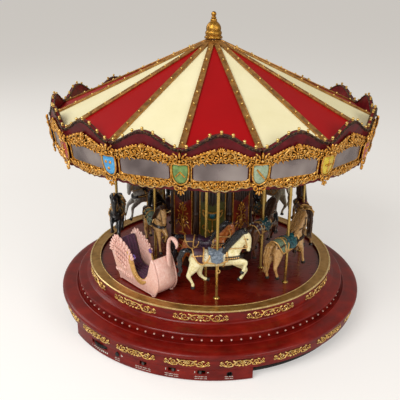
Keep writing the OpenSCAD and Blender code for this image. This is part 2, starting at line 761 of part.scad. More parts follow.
// Silvered panes between the gilded mouldings
module board_mirrors() {
    r = 4;
    color("silver") for (i = [0 : sides - 1]) board_place(i) translate([0, mirror_y, skin])
        linear_extrude(1.2) union() {
            translate([-mirror_w / 2 + r, 0]) square([mirror_w - 2 * r, mirror_h]);
            translate([-mirror_w / 2, r]) square([mirror_w, mirror_h - 2 * r]);
            for (x = [-1, 1], y = [r, mirror_h - r]) translate([x * (mirror_w / 2 - r), y])
                circle(r = r, $fn = 24);
        }
}

// Gilded mouldings over and under each mirror
module gilt_frames() {
    n = 12;
    w = board_half(0) - 1;
    top_y = mirror_y + mirror_h + 0.4;
    function upper_high(x) = board_h - 9 + (crest_rise - 2) * pow(cos(90 * x / w), 1.4)
        + 0.8 * cos(360 * 4 * x / w);
    function upper_low(x) = abs(x) < mirror_w / 2 ? top_y + 1.5 * cos(90 * x / w) : top_y + 1.6;
    function lower_high(x) = mirror_y - 0.4 - (abs(x) > shield_clear ? 5 : 1.2 * cos(90 * x / w));
    function lower_low(x) = foot_y(x) + 2.6 - 2.2 * pow(cos(90 * x / w), 2);
    shield_clear = w - shield_w / 2 - 1;
    color("goldenrod") for (i = [0 : sides - 1]) board_place(i) translate([0, 0, skin])
        linear_extrude(gilt_t) {
            polygon(concat([for (k = [0 : n]) let (x = w * (2 * k / n - 1)) [x, upper_low(x)]],
                [for (k = [0 : n]) let (x = w * (1 - 2 * k / n)) [x, upper_high(x)]]));
            polygon(concat([for (k = [0 : n]) let (x = w * (2 * k / n - 1)) [x, lower_low(x)]],
                [for (k = [0 : n]) let (x = w * (1 - 2 * k / n)) [x, lower_high(x)]]));
        }
}

// Puts children on the edge where two boards meet: x along it, y up it, z out of it
module corner_place(i) {
    station(side_a + half + i * 2 * half, board_r / cos(half)) translate([0, 0, board_foot_z])
        rotate([90 + corner_lean, 0, 0]) children();
}

// Painted shields that cover the corners between the boards
module corner_shields() {
    t = gilt_t / cos(half) - skin;
    color("steelblue") for (i = [0 : sides - 1]) corner_place(i) translate([0, shield_y, skin])
        linear_extrude(t) polygon([
            [0, 0], [shield_w * 0.3, shield_h * 0.12], [shield_w * 0.45, shield_h * 0.35],
            [shield_w / 2, shield_h * 0.7], [shield_w / 2, shield_h], [-shield_w / 2, shield_h],
            [-shield_w / 2, shield_h * 0.7], [-shield_w * 0.45, shield_h * 0.35],
            [-shield_w * 0.3, shield_h * 0.12]
        ]);
}

// Gilded shell over each shield and drop under it, laid over the ends of the mouldings
module shield_scrolls() {
    t = 2;
    top = shield_y + shield_h + 0.4;
    w = shield_w * 0.62;
    color("goldenrod") for (i = [0 : sides - 1]) corner_place(i)
        translate([0, 0, gilt_t / cos(half) + 2 * skin]) linear_extrude(t) {
            polygon([
                [-w, top + 1], [0, top], [w, top + 1], [w * 1.05, top + 4], [w * 0.6, top + 7.5],
                [w * 0.5, top + 10.5], [0, top + 13], [-w * 0.5, top + 10.5], [-w * 0.6, top + 7.5],
                [-w * 1.05, top + 4]
            ]);
            polygon([
                [0, shield_y - 0.6], [w * 0.7, shield_y + 0.8], [w, shield_y - 3],
                [w * 0.7, shield_y - 7], [0, shield_y - 10.5], [-w * 0.7, shield_y - 7],
                [-w, shield_y - 3], [-w * 0.7, shield_y + 0.8]
            ]);
        }
}

// Small brass lamps along each crest
module crest_lights() {
    r = 1.3;
    color("gold") for (i = [0 : sides - 1], k = [-3 : 3]) board_place(i)
        let (x = k * board_half(board_h) * 0.29) translate([x, crest_y(x) - 0.6, -board_t / 2])
            rotate([-90, 0, 0]) cylinder(r1 = r, r2 = r * 0.7, h = r * 2.6, $fn = 24);
}

// Turned finial on the point of the roof
module finial() {
    z = apex_z + 3;
    color("darkgoldenrod") translate([0, 0, z]) difference() {
        union() {
            rotate_extrude($fn = 64) polygon([
                [0, 0], [11, 0], [11.1, 2], [10.4, 3.6], [9, 4.3], [9.6, 5.8], [9.9, 7.8], [9.6, 9.6],
                [8.5, 11], [8.6, 15], [8.3, 17.3], [6.5, 19.6], [4.6, 21], [3.6, 21.7], [4.2, 23],
                [4.2, 24.4], [3, 25.4], [3.5, 26.6], [3.4, 27.6], [2.2, 28.3], [0, 28.3]
            ]);
            translate([0, 0, 31.2]) sphere(r = 3.5, $fn = 32);
        }
        translate([0, 0, -1]) cylinder(r = spindle_r + skin, h = 7, $fn = 48);
    }
}

// ---------------------------------------------------------------- sleigh

// Side wall: a swept back wing, a low step-in and a bowed front
module sleigh_side() {
    polygon([
        [-34, 3], [38, 3], [45, 12], [50, 26], [49, 40], [44, 50], [36, 54], [30, 46], [26, 30],
        [20, 20], [12, 17.5], [3, 21], [-2, 29], [-6, 40], [-13, 49], [-24, 56], [-39, 61],
        [-45, 55], [-51, 46], [-52, 38], [-47, 26], [-41, 13]
    ]);
}

// Puts children in the sleigh's own frame: x is forwards, -y is outwards, z is over the deck
module sleigh_place() {
    rotate([0, 0, sleigh_a - sleigh_turn]) translate([sleigh_ahead, -sleigh_r, deck_top + skin])
        children();
}
sleigh_r = outer_r - 2.5;
sleigh_in_w = sleigh_w - 2 * sleigh_wall;
module across(w) {
    translate([0, w / 2, 0]) rotate([90, 0, 0]) linear_extrude(w) children();
}

// Swan sleigh: two winged sides, floor, bowed front, neck and feet
module sleigh() {
    neck = [[43, 50, 4.6], [44, 62, 3.6], [45, 73, 3], [50, 81, 3], [57, 82, 3.2], [62, 77, 1.2]];
    color("pink") sleigh_place() {
        for (s = [-1, 1]) translate([0, s * (sleigh_w - sleigh_wall) / 2, 0])
            across(sleigh_wall) sleigh_side();
        across(sleigh_in_w + 1) polygon([
            [-34, 3], [38, 3], [45, 12], [50, 26], [49, 40], [44, 50], [36, 54], [35, 52], [42, 48],
            [46.5, 39.5], [47.3, 26], [42.5, 13], [36.5, 5.4], [-34, 5.4]
        ]);
        for (x = [-27, 34], y = [-1, 1]) translate([x, y * (sleigh_w / 2 - 3), 0])
            cylinder(r1 = 2.6, r2 = 1.8, h = 3.2, $fn = 24);
        for (i = [0 : len(neck) - 2]) hull() for (p = [neck[i], neck[i + 1]])
            translate([p[0], 0, p[1]]) sphere(r = p[2], $fn = 8);
    }
}

// Padded seat and back of the sleigh
module sleigh_seat() {
    color("indigo") sleigh_place() across(sleigh_in_w - 2 * move_gap) polygon([
        [-30, 5.4 + skin], [24, 5.4 + skin], [24, 15], [20, 19], [-18, 19], [-24, 24], [-37, 57],
        [-41, 56], [-45, 42], [-40, 24]
    ]);
}

// ---------------------------------------------------------------- figures

// A chain of rounded lengths through points [x, y, z, r]
module limb(pts, facets = 6) {
    for (i = [0 : len(pts) - 2]) hull() for (p = [pts[i], pts[i + 1]])
        translate([p[0], p[1], p[2]]) rotate([0, 0, 22]) sphere(r = p[3], $fn = facets);
}

// A galloping leg: hip, knee, fetlock and hoof, on one side of the body
module leg(side, pts) {
    w = 5 * side;
    limb([for (i = [0 : len(pts) - 1]) [pts[i][0], w, pts[i][1], pts[i][2]]]);
}

// Legs of the three gaits: near fore, far fore, near hind, far hind
gaits = [
    [[[23, 39, 6], [36, 38, 2.7], [34.5, 28, 1.9], [32.5, 25.5, 2.5]],
     [[20, 36, 6], [38, 22.5, 2.7], [33, 12, 1.9], [30, 9, 2.5]],
     [[-25, 37, 8], [-36.5, 19.5, 2.8], [-31, 9, 1.9], [-31, 2.6, 2.6]],
     [[-23, 36, 8], [-22, 17, 2.8], [-15, 10, 1.9], [-11, 9, 2.5]]],
    [[[22, 38, 6], [30, 24, 2.7], [33, 11, 1.9], [35, 4, 2.5]],
     [[22, 38, 6], [36, 33, 2.7], [31, 22, 1.9], [28, 20, 2.5]],
     [[-25, 37, 8], [-33, 19, 2.8], [-29, 9, 1.9], [-27, 2.6, 2.6]],
     [[-24, 37, 8], [-38, 21, 2.8], [-37, 10, 1.9], [-36, 4, 2.5]]],
    [[[23, 40, 6], [38, 34, 2.7], [42, 23, 1.9], [45, 19, 2.5]],
     [[22, 38, 6], [37, 29, 2.7], [39, 17, 1.9], [42, 12, 2.5]],
     [[-25, 37, 8], [-38, 22, 2.8], [-41, 11, 1.9], [-44, 5, 2.5]],
     [[-25, 37, 8], [-33, 20, 2.8], [-36, 9, 1.9], [-39, 2.6, 2.5]]]
];

// A horse with saddle, mane and tail; x is forwards and the pole runs through its bore
module horse(gait, tint, bore) {
    legs = gaits[gait];
    color(tint) difference() {
        union() {
            hull() {
                for (p = [[22, 43, 9], [2, 41, 9.6]])
                    translate([p[0], 0, p[1]]) sphere(r = p[2], $fn = 8);
            }
            hull() {
                for (p = [[2, 41, 9.6], [-23, 42.5, 10.4]])
                    translate([p[0], 0, p[1]]) sphere(r = p[2], $fn = 8);
            }
            limb([[19, 0, 46, 8.4], [27, 0, 58, 6], [33.5, 0, 68, 4.6]], 8);
            limb([[33.5, 0, 69, 4.8], [37, 0, 54.5, 3]], 8);
            for (s = [-1, 1]) translate([35, s * 2.4, 72]) rotate([0, 15, 0])
                cylinder(r1 = 1.8, r2 = 0.5, h = 8, $fn = 4);
            hull() {
                translate([30, 0, 72]) sphere(r = 2.6, $fn = 6);
                translate([15, 0, 55]) sphere(r = 3.2, $fn = 6);
            }
            limb([[-32, 0, 49, 3], [-41, 0, 52, 3.2], [-46, 0, 42, 3.6], [-47, 0, 17, 1.6]]);
            leg(-1, legs[0]);
            leg(1, legs[1]);
            leg(-1, legs[2]);
            leg(1, legs[3]);
            hull() {
                translate([-10, 0, 52]) cube([6, 12, 6], center = true);
                translate([7, 0, 49]) cube([10, 18, 7], center = true);
            }
        }
        translate([0, 0, 20]) cylinder(r = bore, h = 60, $fn = 12);
    }
}

module pole_body(z, len, facets = 32) {
    color("goldenrod") translate([0, 0, z]) {
        cylinder(r = pole_r, h = len, $fn = facets);
        cylinder(r = pole_foot_r, h = pole_foot_h, $fn = facets);
    }
}
grip = pole_r + 0.1;
function outer_up(k) = floor((k - 1) / 2) % 2 == 0 ? 0 : stroke;
function inner_up(k) = (k - 1) % 2 == 0 ? 0 : stroke;
module outer_pole(k) {
    station(outer_a + (k - 1) * outer_step, outer_r) pole_body(pole_low_z + outer_up(k), pole_len);
}
module outer_horse(k, gait, tint) {
    station(outer_a + (k - 1) * outer_step, outer_r) translate([0, 0, figure_z + outer_up(k)])
        horse(gait, tint, grip);
}
module inner_horse(k, gait, tint) {
    station(inner_a + (k - 1) * inner_step, inner_r) {
        pole_body(pole_low_z + inner_up(k), pole_len, 20);
        translate([0, 0, figure_z + inner_up(k)]) scale(inner_size)
            horse(gait, tint, grip / inner_size);
    }
}

drum_shell();
plinth_skirt();
gold_ring();
gilt_scrolls();
marquee_lights();
control_panel();
base_tray();
rubber_feet();
base_screws();
speaker();
circuit_board();
power_socket();
bearing_plate();
spindle_bush();
wave_track();
motor();
motor_pinion();
idler_gear();
volume_wheel();
play_button();
song_switch();
light_switch();
power_switch();
deck();
spindle();
drive_gear();
column();
column_panels();
ceiling();
roof_panels();
roof_ribs();
rounding_boards();
board_mirrors();
gilt_frames();
corner_shields();
shield_scrolls();
crest_lights();
finial();
sleigh();
sleigh_seat();
outer_pole(1);  // outer_pole_1
outer_pole(2);  // outer_pole_2
outer_pole(3);  // outer_pole_3
outer_pole(4);  // outer_pole_4
outer_pole(5);  // outer_pole_5
outer_pole(6);  // outer_pole_6
outer_pole(7);  // outer_pole_7
outer_horse(1, 0, "wheat");  // outer_horse_1
outer_horse(2, 1, "burlywood");  // outer_horse_2
outer_horse(3, 2, "goldenrod");  // outer_horse_3
outer_horse(4, 0, "silver");  // outer_horse_4
outer_horse(5, 1, "sienna");  // outer_horse_5
outer_horse(6, 2, "lightgray");  // outer_horse_6
outer_horse(7, 0, "dimgray");  // outer_horse_7
inner_horse(1, 2, "chocolate");  // inner_horse_1
inner_horse(2, 0, "saddlebrown");  // inner_horse_2
inner_horse(3, 1, "sienna");  // inner_horse_3
inner_horse(4, 2, "wheat");  // inner_horse_4
inner_horse(5, 0, "dimgray");  // inner_horse_5
inner_horse(6, 1, "peru");  // inner_horse_6
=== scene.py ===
"""Looks of the carousel music box: every visible piece, in the order in which it is put together."""

from math import atan, atan2, cos, degrees, hypot, pi, radians, sin, sqrt, tan

import bpy
from mathutils import Matrix, Vector


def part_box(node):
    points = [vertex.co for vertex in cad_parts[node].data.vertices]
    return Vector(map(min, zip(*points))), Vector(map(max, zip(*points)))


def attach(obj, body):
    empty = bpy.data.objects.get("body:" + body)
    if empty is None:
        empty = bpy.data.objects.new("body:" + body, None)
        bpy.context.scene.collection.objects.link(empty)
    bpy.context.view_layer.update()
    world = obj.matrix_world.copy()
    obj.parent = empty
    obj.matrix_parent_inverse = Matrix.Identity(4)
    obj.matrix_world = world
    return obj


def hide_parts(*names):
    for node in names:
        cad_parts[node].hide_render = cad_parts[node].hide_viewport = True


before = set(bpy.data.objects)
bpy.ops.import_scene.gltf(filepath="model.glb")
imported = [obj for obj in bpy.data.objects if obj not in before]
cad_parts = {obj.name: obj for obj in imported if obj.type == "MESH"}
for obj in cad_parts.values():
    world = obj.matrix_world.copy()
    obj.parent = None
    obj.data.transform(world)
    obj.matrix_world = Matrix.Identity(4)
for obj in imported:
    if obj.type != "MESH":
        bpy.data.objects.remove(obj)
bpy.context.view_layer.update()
bpy.ops.object.select_all(action="DESELECT")
MM = 0.001

# ---------------------------------------------------------------- Camera
# A seated viewer's eye, a little left of the middle and above the deck, looking down
# on the ring. Its lens is given for a square frame of 400 pixels.
focal_px, frame_px = 582.3, 400
eye, tilt_down, roll = (-0.0160, -0.8033, 0.4620), 20.93, 0.0091
bpy.ops.object.camera_add()
camera = bpy.context.object
camera.data.sensor_width = 36
camera.data.lens = focal_px / frame_px * camera.data.sensor_width
camera.data.clip_start = 0.01
camera.matrix_world = (Matrix.Translation(eye) @ Matrix.Rotation(radians(90 - tilt_down), 4, "X")
                       @ Matrix.Rotation(roll, 4, "Z"))
bpy.context.scene.camera = camera
bpy.context.scene.view_settings.view_transform = "Standard"


# ---------------------------------------------------------------- Floor and light
# A pale plain floor, a pale surround and three soft boxes: a large one from the upper
# left, a weaker one from the right and a small one from behind for the rims.
def linear(code):
    """An sRGB hex colour as linear numbers."""
    parts = [int(code[i:i + 2], 16) / 255 for i in (0, 2, 4)]
    return [c / 12.92 if c <= 0.04045 else ((c + 0.055) / 1.055) ** 2.4 for c in parts] + [1.0]


def add_node(tree, kind, settings=None, **inputs):
    """A node with its settings, and its inputs' values or links; i6 is the input of index 6."""
    made = tree.nodes.new(kind)
    for name, value in (settings or {}).items():
        setattr(made, name, value)
    for name, value in inputs.items():
        by_index = name[0] == "i" and name[1:].isdigit()
        socket = made.inputs[int(name[1:])] if by_index else made.inputs[name.replace("_", " ")]
        if isinstance(value, bpy.types.NodeSocket):
            tree.links.new(value, socket)
        else:
            socket.default_value = value
    return made


floor_paint = bpy.data.materials.new("pale floor paint")
floor_paint.use_nodes = True
floor_tree = floor_paint.node_tree
floor_tree.nodes.clear()
floor_view = add_node(floor_tree, "ShaderNodeLightPath")
floor_diffuse = add_node(floor_tree, "ShaderNodeBsdfDiffuse", Color=linear("DCDAD7"))
floor_glow = add_node(floor_tree, "ShaderNodeEmission", Color=linear("F2F1EF"), Strength=0.35)
floor_sum = add_node(floor_tree, "ShaderNodeAddShader", i0=floor_diffuse.outputs[0], i1=floor_glow.outputs[0])
floor_mix = add_node(floor_tree, "ShaderNodeMixShader", i0=floor_view.outputs["Is Camera Ray"],
                     i1=floor_diffuse.outputs[0], i2=floor_sum.outputs[0])
add_node(floor_tree, "ShaderNodeOutputMaterial", Surface=floor_mix.outputs[0])
bpy.ops.mesh.primitive_plane_add(size=40)
floor = bpy.context.object
floor.name = "floor"
floor.data.materials.append(floor_paint)

world = bpy.data.worlds.new("pale surround")
bpy.context.scene.world = world
world.use_nodes = True
sky_tree = world.node_tree
sky_tree.nodes.clear()
sky_view = add_node(sky_tree, "ShaderNodeLightPath")
sky_seen = add_node(sky_tree, "ShaderNodeBackground", Color=linear("EFEEEC"), Strength=1.0)
sky_light = add_node(sky_tree, "ShaderNodeBackground", Color=linear("F6EDE2"), Strength=0.42)
sky_mix = add_node(sky_tree, "ShaderNodeMixShader", i0=sky_view.outputs["Is Camera Ray"],
                   i1=sky_light.outputs[0], i2=sky_seen.outputs[0])
add_node(sky_tree, "ShaderNodeOutputWorld", Surface=sky_mix.outputs[0])

for lamp_name, lamp_at, lamp_size, lamp_watts in (
        ("key", (-0.9, -1.3, 1.4), 1.1, 26), ("fill", (1.2, -1.3, 1.0), 1.0, 12), ("rim", (-1.5, 0.8, 1.2), 0.8, 6)):
    bpy.ops.object.light_add(type="AREA", location=lamp_at)
    lamp = bpy.context.object
    lamp.name = lamp_name
    lamp.data.size = lamp_size
    lamp.data.energy = lamp_watts
    lamp.rotation_euler = (Vector((0, 0, 0.18)) - Vector(lamp_at)).to_track_quat("-Z", "Y").to_euler()


# ---------------------------------------------------------------- Lower base moulding
# The wide skirt and its rolled edge, turned from one ring of hardwood and finished in
# dark cherry lacquer: the coats give a deep red with soft streaks and a wet gloss.
def finish(name, tones, grain, rough, bump=0.0, stretch=(1, 1, 1), detail=4.0, fine=None, **surface):
    """A finish: its hex tones run over a noise of the grain size in mm, and bump, in mm, over the fine size."""
    material = bpy.data.materials.new(name)
    material.use_nodes = True
    tree = material.node_tree
    tree.nodes.clear()
    place = add_node(tree, "ShaderNodeTexCoord")
    turned = add_node(tree, "ShaderNodeMapping", Vector=place.outputs["Object"], Scale=stretch)
    turned.name = "place"
    noise = add_node(tree, "ShaderNodeTexNoise", Vector=turned.outputs[0], Scale=1 / (grain * MM), Detail=detail,
                     Roughness=0.6)
    tone = add_node(tree, "ShaderNodeValToRGB", Fac=noise.outputs["Fac"])
    tone.name = "tone"
    marks = tone.color_ramp.elements
    while len(marks) < len(tones):
        marks.new(0.5)
    for i, code in enumerate(tones):
        marks[i].position = 0.3 + 0.4 * i / max(1, len(tones) - 1)
        marks[i].color = linear(code)
    sheen = add_node(tree, "ShaderNodeMapRange", Value=noise.outputs["Fac"], i1=0.3, i2=0.7, i3=rough[0], i4=rough[1])
    shader = add_node(tree, "ShaderNodeBsdfPrincipled", Base_Color=tone.outputs[0], Roughness=sheen.outputs[0],
                      **surface)
    shader.name = "surface"
    if bump:
        small = add_node(tree, "ShaderNodeTexNoise", Vector=turned.outputs[0], Scale=1 / ((fine or grain) * MM),
                         Detail=3.0)
        raised = add_node(tree, "ShaderNodeBump", Strength=1.0, Distance=bump * MM, Height=small.outputs["Fac"])
        raised.name = "raised"
        tree.links.new(raised.outputs[0], shader.inputs["Normal"])
    add_node(tree, "ShaderNodeOutputMaterial", Surface=shader.outputs[0])
    return material


cherry = finish("dark cherry lacquer on turned hardwood", ["5A0904", "700E06", "84190B"], 26, (0.3, 0.42), bump=0.02,
                stretch=(1, 1, 3.5), fine=2.5, Specular_IOR_Level=0.24, Coat_Weight=0.18, Coat_Roughness=0.14)


def alone(piece):
    """Selects one piece only and makes it active."""
    bpy.ops.object.select_all(action="DESELECT")
    piece.select_set(True)
    bpy.context.view_layer.objects.active = piece


def settle(piece, name, body, slot, *materials, smooth=35):
    """Names a piece, puts its place into its mesh, gives it its materials and lets it ride on a body."""
    piece.name = name
    piece.data.name = name
    alone(piece)
    bpy.ops.object.transform_apply(location=True, rotation=True, scale=True)
    if smooth:
        bpy.ops.object.shade_smooth_by_angle(angle=radians(smooth))
    for material in materials:
        piece.data.materials.append(material)
    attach(piece, body)
    return piece


def use(piece, *modifiers):
    """Adds each modifier, given as (kind, settings), and applies it."""
    alone(piece)
    for kind, settings in modifiers:
        modifier = piece.modifiers.new(kind.lower(), kind)
        for name, value in settings.items():
            setattr(modifier, name, value)
        bpy.ops.object.modifier_apply(modifier=modifier.name)
    return piece


def from_points(points, edges=(), faces=()):
    """A new mesh object from points in millimetres."""
    mesh = bpy.data.meshes.new("piece")
    mesh.from_pydata([[c * MM for c in p] for p in points], edges, faces)
    piece = bpy.data.objects.new("piece", mesh)
    bpy.context.scene.collection.objects.link(piece)
    return piece


def turn_on_lathe(profile, steps=160, round_mm=0.5):
    """Spins a closed profile of (radius, height) in mm round the axis, and rounds its corners."""
    ring = len(profile)
    piece = from_points([(r, 0, z) for r, z in profile], [(i, (i + 1) % ring) for i in range(ring)])
    alone(piece)
    bpy.ops.object.mode_set(mode="EDIT")
    bpy.ops.mesh.select_all(action="SELECT")
    bpy.ops.mesh.spin(steps=steps, angle=2 * pi, center=(0, 0, 0), axis=(0, 0, 1))
    bpy.ops.mesh.select_all(action="SELECT")
    bpy.ops.mesh.remove_doubles(threshold=1e-6)
    bpy.ops.mesh.normals_make_consistent(inside=False)
    bpy.ops.object.mode_set(mode="OBJECT")
    if round_mm:
        use(piece, ("BEVEL", {"width": round_mm * MM, "segments": 3, "limit_method": "ANGLE", "angle_limit": 0.35}))
    return piece


def around(x, y, r, degrees):
    """The point r away from (x, y), at an angle from the x axis."""
    return x + r * cos(radians(degrees)), y + r * sin(radians(degrees))


flange_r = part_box("plinth_skirt")[1].x / MM
skirt_r = flange_r - 4.5
skirt_foot = 17.0
ledge_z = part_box("drum_shell")[0].z / MM
flange_z = ledge_z - 6.8
plinth = turn_on_lathe([
    (188, ledge_z - 3.3), (188, ledge_z - 0.3), (199.5, ledge_z - 0.3), (200.2, ledge_z + 0.6),
    (201.5, ledge_z + 0.6), (202.2, ledge_z)] + [
    (flange_r - 10 + 10 * sin(a), flange_z + 3 + 3.8 * cos(a)) for a in
    [radians(12 * k) for k in range(8)]] + [
    (flange_r, flange_z + 0.2), (flange_r - 1.6, flange_z - 0.2), (flange_r - 3.6, flange_z + 0.4),
    (skirt_r, flange_z - 1.2), (skirt_r, skirt_foot), (203.5, skirt_foot), (203.5, skirt_foot + 3),
    (213.5, skirt_foot + 3), (213.5, flange_z - 3), (210.5, ledge_z - 3.3)])
settle(plinth, "plinth", "base", "mahogany_lacquer", cherry)
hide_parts("plinth_skirt")

# ---------------------------------------------------------------- Upper step and drum wall
# The step over the lights and the straight wall under the deck, turned as one ring in
# the same lacquer and glued on the lower moulding.
drum_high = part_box("drum_shell")[1]
rim_z = drum_high.z / MM
lip_r = drum_high.x / MM
drum_r = 178.5
lip_z, step_z, drum_z = ledge_z + 8, ledge_z + 12.2, ledge_z + 15.7
drum = turn_on_lathe([
    (lip_r - 2.5, ledge_z), (lip_r - 2.5, lip_z - 0.5), (lip_r - 2, lip_z)] + [
    around(lip_r - 2.1, lip_z + 2.1, 2.1, a) for a in range(-90, 91, 30)] + [
    (lip_r - 6, step_z + 0.2), (lip_r - 12, step_z + 1.0), (drum_r + 3.5, drum_z - 0.6), (drum_r + 1.2, drum_z),
    (drum_r, drum_z + 1.2), (drum_r, rim_z), (164.8, rim_z), (164.8, rim_z - 4), (174.5, rim_z - 4),
    (174.5, drum_z - 2), (177.5, drum_z - 4), (191, step_z - 4), (191, ledge_z)], round_mm=0.4)
settle(drum, "drum", "base", "mahogany_lacquer", cherry)
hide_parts("drum_shell")

# ---------------------------------------------------------------- Gold ring
# A flat ring of brushed gilt brass round the deck, laid on the drum. Its outer edge is
# a polished bead in paler brass, a painted highlight, and its face keeps the fine marks of the lathe.
ring_brass = finish("lathe-brushed gilt brass", ["9C7336", "B98E4C", "C9A163"], 9, (0.30, 0.44), bump=0.02,
                    fine=0.8, Metallic=0.85)
# Paler tones than the ring: a painted highlight on the outer and inner beads.
bead_brass_highlight = finish("polished gilt brass bead, paler as painted highlight", ["D8B46A", "F2D79A"], 6, (0.2, 0.3), Metallic=0.7)
ring_hole_r = 164.3
ring = turn_on_lathe([(ring_hole_r, rim_z), (drum_r, rim_z), (drum_r, rim_z + 1.3), (ring_hole_r + 1.3, rim_z + 1.6),
                      (ring_hole_r, rim_z + 1.1)], round_mm=0.3)
settle(ring, "deck_ring", "base", "ring_gold", ring_brass)
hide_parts("gold_ring")
for bead_name, bead_at, bead_thick, corners in (("deck_ring_bead", drum_r, 1.3, 10),
                                                ("deck_ring_inner_bead", ring_hole_r + 0.6, 0.7, 8)):
    bead = turn_on_lathe([around(bead_at, rim_z + 1.3, bead_thick, 360 / corners * k) for k in range(corners)],
                         round_mm=0)
    settle(bead, bead_name, "base", "ring_gold", bead_brass_highlight)


# ---------------------------------------------------------------- Gilt scrolls of the base
# Thin castings of C-scrolls and leaves, gilded and rubbed with brown wax that stays in
# the hollows; that brown is placed by ambient occlusion, so it is partly painted shade.
# Twelve go round the drum and twenty round the skirt, pinned to the wood.
def gilding(name, tones, hollow_shade):
    """Antique gilding: bright tones on the crests, and brown wax and painted shade in the hollows of the casting, found
    by ambient occlusion.
    """
    made = finish(name, tones, 3, (0.26, 0.46), bump=0.25, fine=1.1, Metallic=0.75)
    tree = made.node_tree
    # Painted shade: where ambient occlusion finds the casting sheltered, the colour turns to the dark tone.
    occlusion = add_node(tree, "ShaderNodeAmbientOcclusion", {"samples": 8}, Distance=2.2 * MM)
    hollow_shade_factor = add_node(tree, "ShaderNodeMapRange", Value=occlusion.outputs["AO"], i1=0.35, i2=0.85)
    mix = add_node(tree, "ShaderNodeMix", {"data_type": "RGBA"}, i0=hollow_shade_factor.outputs[0], i6=linear(hollow_shade),
                   i7=tree.nodes["tone"].outputs[0])
    tree.links.new(mix.outputs[2], tree.nodes["surface"].inputs["Base Color"])
    return made


gilt = gilding("antique gilding on castings with painted shade in hollows", ["B4711F", "D8983A", "F6CF86"], "381804")


def rods(runs, sides=2):
    """Round tapering rods through runs of (x, y, z, radius) in mm, as one mesh."""
    bpy.ops.object.add(type="CURVE")
    rod = bpy.context.object
    rod.data.dimensions = "3D"
    rod.data.bevel_depth = MM
    rod.data.bevel_resolution = sides
    rod.data.use_fill_caps = True
    for run in runs:
        spline = rod.data.splines.new("POLY")
        spline.points.add(len(run) - 1)
        spline.use_smooth = True
        for point, (x, y, z, r) in zip(spline.points, run):
            point.co = (x * MM, y * MM, z * MM, 1)
            point.radius = r
    alone(rod)
    bpy.ops.object.convert(target="MESH")
    return bpy.context.object


def curl(x, y, start_r, end_r, from_deg, to_deg, thick, z=0.0, steps=12):
    """A spiral run round (x, y), thinning to its eye."""
    return [(*around(x, y, start_r + (end_r - start_r) * k / steps, from_deg + (to_deg - from_deg) * k / steps),
             z, thick * (1 - 0.45 * k / steps)) for k in range(steps + 1)]


def curls(side, rows):
    """Spirals on one side of a casting, each (x, y, start radius, end radius, start angle, sweep, thickness, z)."""
    return [curl(x * side, y, start_r, end_r, start, start + side * sweep, thick, z)
            for x, y, start_r, end_r, start, sweep, thick, z in rows]


def dab(x, y, long, wide, high, turn=0.0, z=0.0, segments=10, rings=6):
    """A rounded lobe of a casting, in mm, its length turned by an angle in the plane."""
    bpy.ops.mesh.primitive_uv_sphere_add(segments=segments, ring_count=rings, radius=MM,
                                         location=(x * MM, y * MM, z * MM), rotation=(0, 0, radians(turn)))
    made = bpy.context.object
    made.scale = (long, wide, high)
    return made


def join(pieces):
    """Joins pieces into the first, with its place put into the mesh."""
    alone(pieces[0])
    for other in pieces:
        other.select_set(True)
    bpy.ops.object.join()
    joined = bpy.context.object
    bpy.ops.object.transform_apply(location=True, rotation=True, scale=True)
    return joined


def placed(piece, place):
    """A copy of a mesh, moved by a matrix and with its faces still outwards."""
    one = bpy.data.objects.new("copy", piece.data.copy())
    one.data.transform(place)
    if place.determinant() < 0:
        one.data.flip_normals()
    bpy.context.scene.collection.objects.link(one)
    return one


def copies(piece, places):
    """Copies of a mesh at each matrix, joined as one piece; the first piece is used up."""
    made = [placed(piece, place) for place in places]
    bpy.data.objects.remove(piece)
    return join(made)


def wrap(piece, radius, height):
    """Lays a flat casting, x along and y up, on a round wall of that radius at that height."""
    for vertex in piece.data.vertices:
        x, y, z = vertex.co / MM
        angle = x / radius
        vertex.co = Vector(((radius + z) * sin(angle), -(radius + z) * cos(angle), height + y)) * MM
    return piece


def leaf_scroll(width, height):
    """A mirrored scroll: a shell in the middle, two curls and leaf tips on each side."""
    s = width / 72
    parts = []
    for side in (1, -1):
        runs = curls(side, [(9 * s, -0.6, 3.9 * s, 1.0, 90, -400, 1.0, 0.5),
                            (20.5 * s, 0.7, 4.4 * s, 1.0, -90, 410, 1.1, 0.5),
                            (30 * s, -0.4, 3.2 * s, 0.8, 90, -360, 0.9, 0.5)])
        runs.append([(x * s * side, y, z, r) for x, y, z, r in (
            (0, 3.6, 0.4, 0.8), (5, 4.4, 0.6, 1.0), (11, 3.2, 0.6, 1.0), (16, -3.3, 0.6, 1.0), (22, -4.2, 0.6, 0.9),
            (28, -3.4, 0.5, 0.8), (35, 0.4, 0.3, 0.3))])
        parts.append(rods([[(x, y * height / 12, z, 0.8 * r) for x, y, z, r in run] for run in runs], 1))
        for x, y, long, wide, turn in ((5, -3.4, 3.2, 1.5, -25), (13.5, 3.6, 3.4, 1.4, 30), (15.5, -1.2, 2.6, 1.3, 60),
                                       (25.5, 3.8, 3.3, 1.4, -30), (26, -3.0, 2.8, 1.3, 20), (33.4, 2.6, 2.8, 1.2, -35),
                                       (34, -2.2, 2.6, 1.1, 30)):
            parts.append(dab(x * s * side, y * height / 12, 0.85 * long * s, 0.75 * wide, 0.9, turn * side, 0.3, 8, 5))
    for turn in (-60, -30, 0, 30, 60):
        lobe = radians(90 + turn)
        parts.append(dab(2.6 * cos(lobe), -1.0 + 2.8 * sin(lobe) * height / 12, 2.6, 0.8, 1.2, 90 + turn, 0.3, 8, 5))
    parts.append(dab(0, -3.4 * height / 12, 1.7, 1.5, 1.2, 0, 0.4, 8, 5))
    return join(parts)
